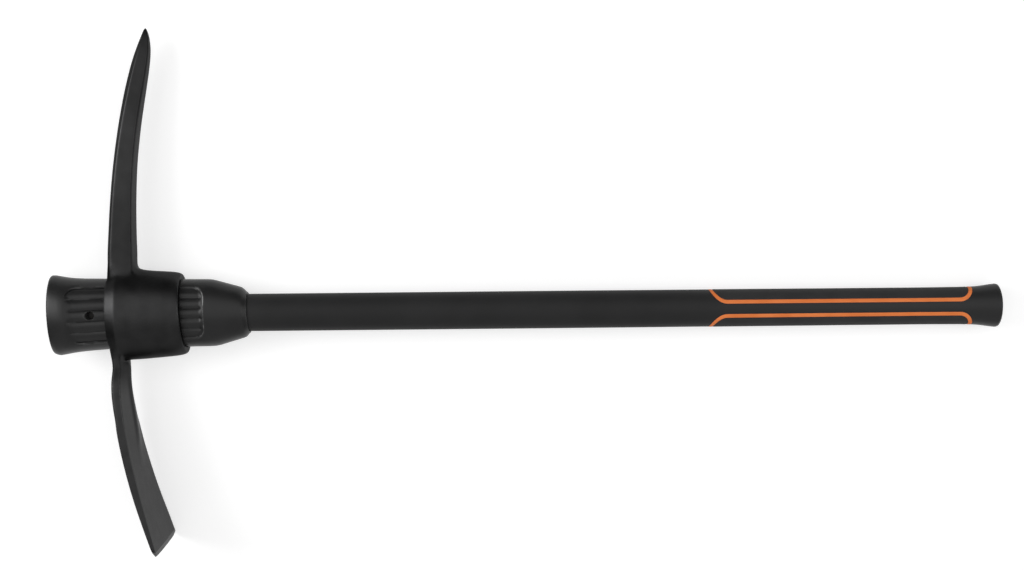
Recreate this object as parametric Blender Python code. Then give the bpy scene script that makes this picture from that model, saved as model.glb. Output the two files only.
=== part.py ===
"""Pickaxe: a forged head on a fibreglass-cored handle, lying on its side on a flat surface.

The tool is modelled in its own frame. +X runs down the handle from the middle of the eye to the
butt, +Y points along the pick and -Y along the adze, and Z is across the tool. An empty on the
handle's axis then lays the whole tool down, so that it rests on the adze corner, the eye and the
butt. All lengths are in metres.
"""

import math

import bmesh
import bpy
import numpy as np
from mathutils import Matrix, Vector

# Clearance between two pieces that touch on the real tool.
GAP = 0.0003

# Handle, measured from the middle of the eye.
HEAD_END = -0.0922
BUTT_END = 0.8084
SHAFT_HEIGHT = 0.0358
SHAFT_DEPTH = 0.0300
CORE_HEIGHT = 0.0260
CORE_DEPTH = 0.0210
CORE_START = -0.0850
CORE_END = 0.7900
CORE_SIDES = 48
SLEEVE_END = 0.0940
SOCKET_START = 0.0640
# A cutter runs this far past the face that it opens.
OVERRUN = 0.0020

# The sleeve leans by this much where its share is 1, so that its top is nearer to the head end.
SLEEVE_LEAN = 0.05
# Sleeve sections along X: place, half height, half depth, share of the lean, drop towards the adze.
SLEEVE_PROFILE = (
    (HEAD_END, 0.0366, 0.0251, 0.5, 0.0008),
    (-0.0916, 0.0376, 0.0262, 0.7, 0.0008),
    (-0.0902, 0.0382, 0.0268, 1.0, 0.0008),
    (-0.0875, 0.0384, 0.0268, 1.0, 0.0009),
    (-0.0815, 0.0373, 0.0258, 1.0, 0.0009),
    (-0.0760, 0.0363, 0.0247, 1.0, 0.0009),
    (-0.0690, 0.0354, 0.0239, 1.0, 0.0008),
    (-0.0600, 0.0347, 0.0234, 1.0, 0.0006),
    (-0.0400, 0.0338, 0.0229, 1.0, 0.0000),
    (0.0420, 0.0323, 0.0220, 1.0, -0.0002),
    (0.0580, 0.0322, 0.0220, 1.0, -0.0002),
    (0.0612, 0.0319, 0.0218, 1.0, -0.0002),
    (0.0652, 0.0310, 0.0214, 1.0, -0.0002),
    (0.0884, 0.0243, 0.0187, 1.0, -0.0003),
    (0.0900, 0.0234, 0.0182, 1.0, 0.0000),
    (0.0912, 0.0222, 0.0174, 1.0, 0.0000),
    (0.0926, 0.0204, 0.0166, 1.0, 0.0000),
    (SLEEVE_END, 0.0193, 0.0163, 1.0, 0.0000),
)
SLEEVE_SIDES = 64

# Fluted recess on each flat side of the sleeve.
POCKET_START = -0.0750
POCKET_END = 0.0547
POCKET_HALF_HEIGHT_AT_START = 0.0262
POCKET_HALF_HEIGHT_AT_END = 0.0240
POCKET_RISE_AT_START = 0.0007
POCKET_RISE_AT_END = 0.0017
POCKET_DEPTH = 0.0026
POCKET_CORNER = 0.0100
POCKET_FLOOR_STATIONS = (-0.0600, 0.0400)
FLUTES = 5
FLUTE_STEPS = 6
FLUTE_HEIGHT = 0.0017
LOCATING_HOLE_X = -0.0520
LOCATING_HOLE_DIAMETER = 0.0085
LOCATING_HOLE_FLOOR = 0.0090
# Levels above the axis between which the cutters of recess and hole stand.
CUTTER_TOP = 0.0400
CUTTER_FOOT = 0.0020

# Jacket sections along X: place, half height, half depth.
JACKET_PROFILE = (
    (SOCKET_START + GAP, 0.0176, 0.0148),
    (0.0880, 0.0176, 0.0148),
    (0.0980, SHAFT_HEIGHT / 2, SHAFT_DEPTH / 2),
    (0.4600, SHAFT_HEIGHT / 2, SHAFT_DEPTH / 2),
    (0.6000, 0.0177, 0.0148),
    (0.6900, 0.0176, 0.0147),
    (0.7600, 0.0177, 0.0148),
    (0.7800, 0.0180, 0.0152),
    (0.7900, 0.0187, 0.0162),
    (0.8035, 0.0205, 0.0184),
    (0.8062, 0.0207, 0.0187),
    (0.8076, 0.0203, 0.0183),
    (BUTT_END, 0.0191, 0.0172),
)
# The grip lies on the rows of the profile between these two.
GRIP_ROWS = (2, 9)
JACKET_SIDES = 48

# Soft grip panels: a closed coloured line runs round each, on the wrapped surface of the shaft.
WRAP_RADIUS = 0.0161
GRIP_LINE_HALF_ANGLE = math.radians(67.5)
GRIP_NOSE_START = 0.5340
GRIP_NOSE_LENGTH = 0.0150
GRIP_TAIL_END = 0.7810
GRIP_TAIL_LENGTH = 0.0120
GRIP_TAIL_BLUNTNESS = 3.0
GRIP_CURVE_STEPS = 9
PANEL_POINTS_ACROSS = 9
# The panel's ends are cut off square where it is narrower than this.
PANEL_LEAST_REACH = 0.0008
INLAY_WIDTH = 0.0034
GRIP_DEPTH = 0.0016

# Head, forged in one piece: a coarse cage, swelled a little because smoothing draws it in.
EYE_LEFT = -0.0372
EYE_RIGHT = 0.0327
EYE_CLEARANCE = 0.00035
EYE_SIDES = 24
CAGE_SWELL = 1.011
# Faces that turn by less than this many degrees are joined again after smoothing.
FLAT_ANGLE = 1.6
EYE_LEAN = 0.045
# Sections of the eye along X: place, half height, half depth, share of the lean, drop towards the adze.
EYE_PROFILE = (
    (EYE_LEFT, 0.0400, 0.0264, 0.5, 0.0009),
    (-0.0275, 0.0436, 0.0300, 0.4, 0.0010),
    (-0.0130, 0.0430, 0.0297, 0.3, 0.0010),
    (0.0120, 0.0413, 0.0291, 0.6, 0.0008),
    (0.0298, 0.0399, 0.0284, 1.0, 0.0003),
    (EYE_RIGHT, 0.0376, 0.0264, 1.15, 0.0003),
)
EYE_INNER_HALF_HEIGHT = 0.0290
EYE_INNER_HALF_DEPTH = 0.0190
# The pick along Y: place, left edge, width, half depth, corner chamfer.
PICK_SECTIONS = (
    (0.0500, -0.0374, 0.0245, 0.0127, 0.0034),
    (0.0640, -0.0363, 0.0232, 0.0121, 0.0033),
    (0.0980, -0.0339, 0.0213, 0.0115, 0.0033),
    (0.1400, -0.0295, 0.0194, 0.0107, 0.0035),
    (0.1800, -0.0230, 0.0185, 0.0100, 0.0039),
    (0.2150, -0.0154, 0.0181, 0.0092, 0.0044),
    (0.2380, -0.0088, 0.0158, 0.0075, 0.0040),
    (0.2520, -0.0037, 0.0119, 0.0054, 0.0030),
    (0.2620, 0.0007, 0.0066, 0.0031, 0.0018),
    (0.2674, 0.0028, 0.0028, 0.0014, 0.0008),
)
PICK_TIP = 0.2686
# Chamfers on the side of the handle, as a share of those on the outer side.
PICK_INNER_CHAMFER = 0.45
# The point's last facet, as a share of the last section, and where it lies across that section.
PICK_POINT_SIZE = 0.3
PICK_POINT_PLACE = 0.45
# The adze along Y: place, outer face, thickness, width, height of the rib on the inner face.
ADZE_SECTIONS = (
    (-0.0490, -0.0324, 0.0078, 0.0395, 0.0054),
    (-0.0620, -0.0356, 0.0093, 0.0412, 0.0057),
    (-0.0820, -0.0344, 0.0094, 0.0465, 0.0063),
    (-0.1020, -0.0311, 0.0092, 0.0508, 0.0063),
    (-0.1180, -0.0283, 0.0091, 0.0542, 0.0048),
    (-0.1320, -0.0256, 0.0092, 0.0570, 0.0016),
    (-0.1560, -0.0196, 0.0090, 0.0622, 0.0000),
    (-0.1800, -0.0125, 0.0083, 0.0682, 0.0000),
    (-0.2030, -0.0042, 0.0069, 0.0752, 0.0000),
    (-0.2170, 0.0011, 0.0052, 0.0790, 0.0000),
    (-0.2226, 0.0034, 0.0039, 0.0796, 0.0000),
)
# The cutting edge: place, outer face, thickness.
ADZE_EDGE = (-0.2282, 0.0053, 0.0006)
# Points across the adze as shares of its width, and the rib's height at each as a share of its own.
ADZE_ACROSS = (-0.5, -0.37, -0.19, 0.0, 0.19, 0.37, 0.5)
ADZE_RIB_SHAPE = (0.0, 0.14, 0.58, 1.0, 0.58, 0.14, 0.0)
# The edge is this much narrower than the blade, its corners stay back, and it is this much out of square.
ADZE_EDGE_CORNER = 0.0070
ADZE_EDGE_CROWN = 0.0014
ADZE_EDGE_SKEW = 0.014

# How sharp the cage's edges stay when it is smoothed: 0 is round and 1 is sharp.
EYE_RIM_CREASE = 0.85
EYE_CHAMFER_CREASE = 0.6
PICK_CREASE = 0.75
ADZE_CREASE = 0.8
BEVEL_CREASE = 0.6
EDGE_CREASE = 1.0

# Contact points in the tool's frame, from which its lie is worked out.
REST_ON_ADZE = Vector((0.0055, -0.2204, -0.0396))
REST_ON_EYE = Vector((-0.0239, 0.0018, -0.02985))
REST_ON_BUTT = Vector((0.8062, 0.0000, -0.0187))

# Finishes: name, colour, roughness, metallic.
STEEL = ("forged_steel", (0.050, 0.051, 0.053), 0.42, 0.85)
NYLON = ("moulded_nylon", (0.030, 0.030, 0.031), 0.45, 0.0)
FIBREGLASS = ("pultruded_fibreglass", (0.018, 0.018, 0.018), 0.6, 0.0)
CASING = ("shaft_casing", (0.026, 0.026, 0.027), 0.42, 0.0)
RUBBER = ("grip_rubber", (0.020, 0.020, 0.021), 0.62, 0.0)
ORANGE = ("orange_elastomer", (0.82, 0.17, 0.02), 0.5, 0.0)


def clear_scene():
    """Remove whatever the scene holds."""
    for obj in list(bpy.data.objects):
        bpy.data.objects.remove(obj, do_unlink=True)


def make_material(finish):
    """Principled material from a (name, colour, roughness, metallic) tuple."""
    name, colour, roughness, metallic = finish
    material = bpy.data.materials.get(name)
    if material:
        return material
    material = bpy.data.materials.new(name)
    material.use_nodes = True
    shader = material.node_tree.nodes["Principled BSDF"]
    shader.inputs["Base Color"].default_value = (*colour, 1.0)
    shader.inputs["Roughness"].default_value = roughness
    shader.inputs["Metallic"].default_value = metallic
    material.diffuse_color = (*colour, 1.0)
    return material


def make_object(name, bm, finish, sharp_angle=35.0):
    """Turn a bmesh into a smooth-shaded object with its faces pointing out."""
    bmesh.ops.recalc_face_normals(bm, faces=bm.faces)
    mesh = bpy.data.meshes.new(name)
    bm.to_mesh(mesh)
    bm.free()
    mesh.shade_smooth()
    mesh.set_sharp_from_angle(angle=math.radians(sharp_angle))
    if finish:
        mesh.materials.append(make_material(finish))
    obj = bpy.data.objects.new(name, mesh)
    bpy.context.scene.collection.objects.link(obj)
    return obj


def make_cutter(name, bm):
    """Object that only shapes others."""
    cutter = make_object(name, bm, None)
    cutter.hide_render = True
    cutter.display_type = "WIRE"
    return cutter


def cut(obj, cutter, operation="DIFFERENCE"):
    """Add an exact Boolean to an object."""
    modifier = obj.modifiers.new(cutter.name, "BOOLEAN")
    modifier.operation = operation
    modifier.solver = "EXACT"
    modifier.object = cutter


def through(knots, x):
    """Smooth curve through (place, value, ...) rows, read at x, one result for each value."""
    table = np.array(knots, dtype=float)
    places, values = table[:, 0], table[:, 1:]
    slopes = np.gradient(values, places, axis=0)
    i = int(np.clip(np.searchsorted(places, x) - 1, 0, len(places) - 2))
    span = places[i + 1] - places[i]
    t = min(max((x - places[i]) / span, 0.0), 1.0)
    start = (1 + 2 * t) * (1 - t) ** 2 * values[i] + t * (1 - t) ** 2 * span * slopes[i]
    end = t * t * (3 - 2 * t) * values[i + 1] + t * t * (t - 1) * span * slopes[i + 1]
    return start + end


def between(knots, x):
    """Straight interpolation in (place, value, ...) rows, read at x."""
    table = np.array(knots, dtype=float)
    return [float(np.interp(x, table[:, 0], column)) for column in table[:, 1:].T]


def oval(x, half_height, half_depth, sides):
    """Points of an oval section at x, from +Y round to +Z."""
    angles = (2 * math.pi * i / sides for i in range(sides))
    return [Vector((x, half_height * math.cos(a), half_depth * math.sin(a))) for a in angles]


def bridge(bm, first, second):
    """Quads between two closed rings of vertices, paired in order."""
    count = len(first)
    for i in range(count):
        j = (i + 1) % count
        bm.faces.new((first[i], first[j], second[j], second[i]))


def loft(bm, rings, capped=True):
    """Skin through rings of points. Returns the rings of vertices."""
    made = [[bm.verts.new(p) for p in ring] for ring in rings]
    for first, second in zip(made, made[1:]):
        bridge(bm, first, second)
    if capped:
        bm.faces.new(made[0])
        bm.faces.new(made[-1])
    return made


def oval_solid(stations, sides):
    """Closed bmesh through (place, half height, half depth) ovals."""
    bm = bmesh.new()
    loft(bm, [oval(x, height, depth, sides) for x, height, depth in stations])
    return bm


def settled(point, lean, drop):
    """Lean a point of a section, so that its top goes towards the head end, and drop it towards the adze."""
    y = point.y - drop
    return Vector((point.x - lean * y, y, point.z))


def along_pocket(x, at_start, at_end):
    """Value that changes evenly from one end of the fluted recess to the other."""
    return at_start + (x - POCKET_START) / (POCKET_END - POCKET_START) * (at_end - at_start)


def pocket_half_height(x):
    """Half height of the fluted recess, which narrows towards the grip."""
    return along_pocket(x, POCKET_HALF_HEIGHT_AT_START, POCKET_HALF_HEIGHT_AT_END)


def pocket_middle(x):
    """How far the recess's middle lies towards the pick."""
    return along_pocket(x, POCKET_RISE_AT_START, POCKET_RISE_AT_END)


def flute_floor(x, share):
    """Point on the fluted floor; share runs from -1 to 1 across the recess."""
    half_height, half_depth = between(SLEEVE_PROFILE, x)[:2]
    y = pocket_middle(x) + share * pocket_half_height(x)
    skin = half_depth * math.sqrt(1 - (y / half_height) ** 2)
    wave = abs(math.sin(math.pi * FLUTES * (share + 1) / 2))
    return Vector((x, y, skin - POCKET_DEPTH + FLUTE_HEIGHT * math.sqrt(wave)))


def make_pocket_cutter(name, side):
    """Fluted slab on one side, trimmed to a round-cornered outline that narrows to the right."""
    steps = FLUTES * FLUTE_STEPS
    shares = [2 * i / steps - 1 for i in range(steps + 1)]
    rings = []
    for x in (POCKET_START - OVERRUN, *POCKET_FLOOR_STATIONS, POCKET_END + OVERRUN):
        floor = [flute_floor(x, s) for s in shares]
        beyond = Vector((0, OVERRUN, 0))
        floor = [floor[0] - beyond, *floor, floor[-1] + beyond]
        roof = [Vector((x, p.y, CUTTER_TOP)) for p in reversed(floor)]
        ring = [settled(p, SLEEVE_LEAN, 0) for p in floor + roof]
        rings.append([Vector((p.x, p.y, side * p.z)) for p in ring])
    slab_bm = bmesh.new()
    loft(slab_bm, rings)
    slab = make_cutter(name, slab_bm)

    outline = []
    corners = ((POCKET_END, 1, 0), (POCKET_START, 1, 90), (POCKET_START, -1, 180), (POCKET_END, -1, 270))
    for x, end, first_angle in corners:
        inward = -1 if x > 0 else 1
        y = pocket_middle(x) + end * (pocket_half_height(x) - POCKET_CORNER)
        for step in range(9):
            angle = math.radians(first_angle + 90 * step / 8)
            reach = Vector((math.cos(angle), math.sin(angle), 0)) * POCKET_CORNER
            outline.append(settled(Vector((x + inward * POCKET_CORNER, y, 0)) + reach, SLEEVE_LEAN, 0))
    prism_bm = bmesh.new()
    levels = (side * CUTTER_FOOT, side * (CUTTER_TOP - OVERRUN))
    loft(prism_bm, [[p + Vector((0, 0, z)) for p in outline] for z in levels])
    prism = make_cutter(name + "_outline", prism_bm)
    cut(slab, prism, "INTERSECT")
    return slab


def make_sleeve():
    """Moulded head sleeve: flared at the head end, bell-shaped towards the grip, fluted on both sides."""
    rings = []
    for x, height, depth, lean, drop in SLEEVE_PROFILE:
        outline = oval(x, height, depth, SLEEVE_SIDES)
        rings.append([settled(p, lean * SLEEVE_LEAN, drop) for p in outline])
    bm = bmesh.new()
    loft(bm, rings)
    sleeve = make_object("head_sleeve", bm, NYLON)
    core_half = (CORE_HEIGHT / 2 + GAP, CORE_DEPTH / 2 + GAP)
    bore = [(x, *core_half) for x in (CORE_START - GAP, SOCKET_START + OVERRUN)]
    cut(sleeve, make_cutter("core_bore", oval_solid(bore, CORE_SIDES)))
    shaft_half = (SHAFT_HEIGHT / 2 + GAP, SHAFT_DEPTH / 2 + GAP)
    socket = [(x, *shaft_half) for x in (SOCKET_START, SLEEVE_END + OVERRUN)]
    cut(sleeve, make_cutter("jacket_socket", oval_solid(socket, JACKET_SIDES)))
    cut(sleeve, make_pocket_cutter("near_pocket", 1))
    cut(sleeve, make_pocket_cutter("far_pocket", -1))
    radius = LOCATING_HOLE_DIAMETER / 2
    depth = CUTTER_TOP - LOCATING_HOLE_FLOOR
    level = (CUTTER_TOP + LOCATING_HOLE_FLOOR) / 2
    for name, side in (("near_locating_hole", 1), ("far_locating_hole", -1)):
        hole_bm = bmesh.new()
        place = Matrix.Translation((LOCATING_HOLE_X, pocket_middle(LOCATING_HOLE_X), side * level))
        bmesh.ops.create_cone(
            hole_bm, cap_ends=True, segments=20, radius1=radius, radius2=radius, depth=depth, matrix=place
        )
        cut(sleeve, make_cutter(name, hole_bm))
    return sleeve


def grip_line(offset):
    """Half of the line round a grip panel, moved outward: (place, distance round) from nose to tail."""
    reach = WRAP_RADIUS * GRIP_LINE_HALF_ANGLE
    steps = GRIP_CURVE_STEPS
    points = []
    for i in range(steps + 1):
        around = math.sin(math.pi / 2 * i / steps)
        along = math.sqrt(max(0.0, 1 - around ** 2))
        points.append((GRIP_NOSE_START + GRIP_NOSE_LENGTH * (1 - along), reach * around))
    for i in range(steps, -1, -1):
        around = math.sin(math.pi / 2 * i / steps)
        along = math.sqrt(max(0.0, 1 - around ** GRIP_TAIL_BLUNTNESS))
        points.append((GRIP_TAIL_END - GRIP_TAIL_LENGTH * (1 - along), reach * around))
    moved = []
    for i, (x, s) in enumerate(points):
        before = points[i - 1] if i else (points[1][0], -points[1][1])
        after = points[i + 1] if i < len(points) - 1 else (points[-2][0], -points[-2][1])
        along = Vector((after[0] - before[0], after[1] - before[1]))
        along.normalize()
        moved.append((x - along.y * offset, s + along.x * offset))
    return moved


def on_shaft(x, distance, depth):
    """Point on the shaft's surface, distance round from +Y, sunk by depth."""
    half_height, half_depth = through(JACKET_PROFILE[slice(*GRIP_ROWS)], x)
    angle = distance / WRAP_RADIUS
    return Vector((x, (half_height - depth) * math.cos(angle), (half_depth - depth) * math.sin(angle)))


def panel_solid(offset, top, bottom):
    """Closed solid of a grip panel, its edge offset from the coloured line, between two depths."""
    last = PANEL_POINTS_ACROSS - 1
    shares = [2 * i / last - 1 for i in range(PANEL_POINTS_ACROSS)]
    rings = []
    for x, reach in grip_line(offset):
        if reach < PANEL_LEAST_REACH:
            continue
        upper = [on_shaft(x, reach * s, top) for s in shares]
        lower = [on_shaft(x, reach * s, bottom) for s in reversed(shares)]
        rings.append(upper + lower)
    bm = bmesh.new()
    loft(bm, rings)
    return bm


def make_pad(name):
    """Soft panel inside the coloured line."""
    return make_object(name, panel_solid(-INLAY_WIDTH / 2 - GAP, 0, GRIP_DEPTH), RUBBER)


def make_inlay(name):
    """Closed coloured line, swept round the panel."""
    inner = grip_line(-INLAY_WIDTH / 2)
    outer = grip_line(INLAY_WIDTH / 2)
    inner += [(x, -s) for x, s in reversed(inner[1:-1])]
    outer += [(x, -s) for x, s in reversed(outer[1:-1])]
    bm = bmesh.new()
    sections = []
    for near, far in zip(inner, outer):
        corners = ((*near, 0), (*far, 0), (*far, GRIP_DEPTH), (*near, GRIP_DEPTH))
        sections.append([bm.verts.new(on_shaft(*corner)) for corner in corners])
    for first, second in zip(sections, sections[1:] + sections[:1]):
        bridge(bm, first, second)
    return make_object(name, bm, ORANGE)


def make_jacket():
    """Shaft casing with a flared butt, hollow for the core and recessed for the grip panels."""
    jacket = make_object("shaft_jacket", oval_solid(JACKET_PROFILE, JACKET_SIDES), CASING)
    core_half = (CORE_HEIGHT / 2 + GAP, CORE_DEPTH / 2 + GAP)
    bore = [(x, *core_half) for x in (SOCKET_START - OVERRUN, CORE_END + GAP)]
    cut(jacket, make_cutter("jacket_bore", oval_solid(bore, CORE_SIDES)))
    for name, turn in (("upper_recess", 0), ("lower_recess", math.pi)):
        recess = make_cutter(name, panel_solid(INLAY_WIDTH / 2 + GAP, -OVERRUN, GRIP_DEPTH + GAP))
        recess.rotation_euler = (turn, 0, 0)
        cut(jacket, recess)
    return jacket


def make_core():
    """Fibreglass rod that carries the load, hidden inside the mouldings."""
    stations = [(x, CORE_HEIGHT / 2, CORE_DEPTH / 2) for x in (CORE_START, CORE_END)]
    return make_object("core_rod", oval_solid(stations, CORE_SIDES), FIBREGLASS)


def pick_ring(place, left, width, half_depth, chamfer):
    """Chamfered section of the pick: twelve points in the order of the eye's opening."""
    mid, right = left + width / 2, left + width
    inner = chamfer * PICK_INNER_CHAMFER
    flat, inner_flat = half_depth - chamfer, half_depth - inner
    plan = (
        (left + chamfer, -half_depth), (left, -flat), (left, 0), (left, flat), (left + chamfer, half_depth),
        (mid, half_depth), (right - inner, half_depth), (right, inner_flat), (right, 0), (right, -inner_flat),
        (right - inner, -half_depth), (mid, -half_depth),
    )
    return [Vector((x, place, z)) for x, z in plan]


def adze_ring(place, outer, thickness, width, rib, lean, setback=0.0, skew=0.0):
    """Section of the adze square to its outer face: outer side from -Z to +Z, then the inner side back."""
    across = Vector((math.cos(lean), -math.sin(lean), 0))
    base = Vector((outer, place, 0))
    down = Vector((math.sin(lean), math.cos(lean), 0))
    front, back = [], []
    for share, lift in zip(ADZE_ACROSS, ADZE_RIB_SHAPE):
        slip = down * (setback * (2 * abs(share)) ** 4 - skew * width * share)
        point = base + slip + Vector((0, 0, width * share))
        front.append(point)
        back.append(point + across * (thickness + rib * lift))
    return front + back[::-1]


def crease_between(bm, layer, first, second, sharpness):
    """Sharpen the edges that join two rings' matching vertices."""
    for a, b in zip(first, second):
        edge = bm.edges.get((a, b))
        if edge:
            edge[layer] = sharpness


def crease_ring(bm, layer, ring, sharpness, indices):
    """Sharpen the edges of a ring that start at the given vertices."""
    count = len(ring)
    for i in indices:
        edge = bm.edges.get((ring[i % count], ring[(i + 1) % count]))
        if edge:
            edge[layer] = sharpness


def add_eye(bm, layer):
    """Solid drum of the eye, open where the two arms grow out of it. Returns its rings."""
    rings = []
    for x, height, depth, lean, drop in EYE_PROFILE:
        outline = oval(x, height * CAGE_SWELL, depth * CAGE_SWELL, EYE_SIDES)
        rings.append([bm.verts.new(settled(p, lean * EYE_LEAN, drop)) for p in outline])
    half = EYE_SIDES // 2
    pick_side = {(column, i % EYE_SIDES) for column in (0, 1) for i in range(-2, 2)}
    adze_side = {(0, i) for i in range(half - 3, half + 3)}
    for column in range(len(rings) - 1):
        for i in range(EYE_SIDES):
            if (column, i) in pick_side or (column, i) in adze_side:
                continue
            j = (i + 1) % EYE_SIDES
            bm.faces.new((rings[column][i], rings[column][j], rings[column + 1][j], rings[column + 1][i]))
    for i in (-1, 0, 1):
        bm.verts.remove(rings[1][i])
    for ring, (x, _, _, lean, drop) in ((rings[0], EYE_PROFILE[0]), (rings[-1], EYE_PROFILE[-1])):
        outline = oval(x, EYE_INNER_HALF_HEIGHT, EYE_INNER_HALF_DEPTH, EYE_SIDES)
        inner = [bm.verts.new(settled(p, lean * EYE_LEAN, drop)) for p in outline]
        bridge(bm, ring, inner)
        bm.faces.new(inner)
    between_arms = [*range(2, half - 3), *range(half + 3, EYE_SIDES - 2)]
    crease_ring(bm, layer, rings[0], EYE_RIM_CREASE, between_arms)
    crease_ring(bm, layer, rings[1], EYE_CHAMFER_CREASE, between_arms)
    crease_ring(bm, layer, rings[-1], EYE_RIM_CREASE, range(EYE_SIDES))
    return rings


def add_pick(bm, layer, rings):
    """Pick, grown from its opening on the eye to a point."""
    opening = [rings[0][i] for i in (-2, -1, 0, 1, 2)] + [rings[1][2]]
    opening += [rings[2][i] for i in (2, 1, 0, -1, -2)] + [rings[1][-2]]
    last = opening
    corners = [0, 1, 3, 4, 6, 7, 9, 10]
    for section in PICK_SECTIONS:
        ring = [bm.verts.new(p) for p in pick_ring(*section)]
        bridge(bm, last, ring)
        if last is not opening:
            crease_between(bm, layer, [last[i] for i in corners], [ring[i] for i in corners], PICK_CREASE)
        last = ring
    left, width, half_depth, chamfer = PICK_SECTIONS[-1][1:]
    facet = [PICK_POINT_SIZE * size for size in (width, half_depth, chamfer)]
    tip = [bm.verts.new(p) for p in pick_ring(PICK_TIP, left + width * PICK_POINT_PLACE, *facet)]
    bridge(bm, last, tip)
    bm.faces.new(tip)


def adze_lean(place):
    """Angle of the adze's outer face at a place, from its own sections."""
    step = 0.002
    rows = [(row[0], row[1]) for row in reversed(ADZE_SECTIONS)]
    rise = through(rows, place + step)[0] - through(rows, place - step)[0]
    return math.atan2(-rise, 2 * step)


def add_adze(bm, layer, rings):
    """Adze, grown from its opening on the eye to a ground edge with round corners."""
    half = EYE_SIDES // 2
    opening = [rings[0][i] for i in range(half + 3, half - 4, -1)]
    opening += [rings[1][i] for i in range(half - 3, half + 4)]
    last = opening
    count = len(ADZE_ACROSS)
    corners = [0, count - 1, count, 2 * count - 1]
    for row in ADZE_SECTIONS:
        skew = ADZE_EDGE_SKEW if row is ADZE_SECTIONS[-1] else 0.0
        ring = [bm.verts.new(p) for p in adze_ring(*row, adze_lean(row[0]), skew=skew)]
        bridge(bm, last, ring)
        if last is not opening:
            crease_between(bm, layer, [last[i] for i in corners], [ring[i] for i in corners], ADZE_CREASE)
        last = ring
    place, outer, thickness = ADZE_EDGE
    width = ADZE_SECTIONS[-1][3] - ADZE_EDGE_CORNER
    lean = adze_lean(ADZE_SECTIONS[-1][0])
    edge = adze_ring(place, outer, thickness, width, 0, lean, ADZE_EDGE_CROWN, ADZE_EDGE_SKEW)
    ring = [bm.verts.new(p) for p in edge]
    bridge(bm, last, ring)
    crease_between(bm, layer, [last[i] for i in corners], [ring[i] for i in corners], ADZE_CREASE)
    crease_ring(bm, layer, last, BEVEL_CREASE, range(count, 2 * count - 1))
    crease_ring(bm, layer, ring, EDGE_CREASE, range(2 * count))
    for i in range(count - 1):
        bm.faces.new((ring[i], ring[i + 1], ring[2 * count - 2 - i], ring[2 * count - 1 - i]))


def make_head():
    """Forged head: eye, pick and adze grow out of one cage, which is smoothed and then bored."""
    bm = bmesh.new()
    layer = bm.edges.layers.float.new("crease_edge")
    rings = add_eye(bm, layer)
    add_pick(bm, layer, rings)
    add_adze(bm, layer, rings)
    head = make_object("pick_head", bm, STEEL)
    smooth = head.modifiers.new("forged_form", "SUBSURF")
    smooth.levels = 2
    smooth.render_levels = 2
    thin = head.modifiers.new("flat_faces_joined", "DECIMATE")
    thin.decimate_type = "DISSOLVE"
    thin.angle_limit = math.radians(FLAT_ANGLE)
    bore = []
    for x in (EYE_LEFT - OVERRUN, EYE_RIGHT + OVERRUN):
        height, depth = between(SLEEVE_PROFILE, x)[:2]
        bore.append((x, height + EYE_CLEARANCE, depth + EYE_CLEARANCE))
    cut(head, make_cutter("eye_bore", oval_solid(bore, SLEEVE_SIDES)))
    return head


def lay_down(pieces):
    """Parent the pieces to an empty that rests the tool on its three contact points."""
    along = (REST_ON_BUTT - REST_ON_EYE).normalized()
    up = (REST_ON_BUTT - REST_ON_ADZE).cross(REST_ON_EYE - REST_ON_ADZE).normalized()
    if up.z < 0:
        up.negate()
    side = up.cross(along)
    turn = Matrix((along, side, up)).to_4x4()
    axis = bpy.data.objects.new("handle_axis", None)
    bpy.context.scene.collection.objects.link(axis)
    axis.matrix_world = turn
    for piece in pieces:
        piece.parent = axis
    bpy.context.view_layer.update()
    corners = []
    graph = bpy.context.evaluated_depsgraph_get()
    for piece in pieces:
        if piece.hide_render:
            continue
        shown = piece.evaluated_get(graph)
        corners += [shown.matrix_world @ v.co for v in shown.data.vertices]
    low = Vector(map(min, zip(*corners)))
    high = Vector(map(max, zip(*corners)))
    axis.location = (-(low.x + high.x) / 2, -(low.y + high.y) / 2, -low.z)


def main():
    """Build the pickaxe."""
    clear_scene()
    make_head()
    make_sleeve()
    make_core()
    make_jacket()
    make_pad("grip_pad_upper")
    make_pad("grip_pad_lower").rotation_euler = (math.pi, 0, 0)
    make_inlay("grip_inlay_upper")
    make_inlay("grip_inlay_lower").rotation_euler = (math.pi, 0, 0)
    lay_down(list(bpy.data.objects))


main()
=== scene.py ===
"""Looks of the pickaxe: a forged head on a fluted sleeve, a cased shaft and a two-panel grip.

Every piece is modelled in the tool's own frame, in metres. +X runs down the handle from the middle of
the eye to the butt, +Y points along the pick, -Y along the adze, and +Z is across the tool, towards the
side that faces up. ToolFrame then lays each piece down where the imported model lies.
"""

import logging
import math
from collections.abc import Callable, Iterable, Sequence
from dataclasses import dataclass
from enum import Enum

import bmesh
import bpy
import numpy as np
from mathutils import Matrix, Vector, noise


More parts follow.
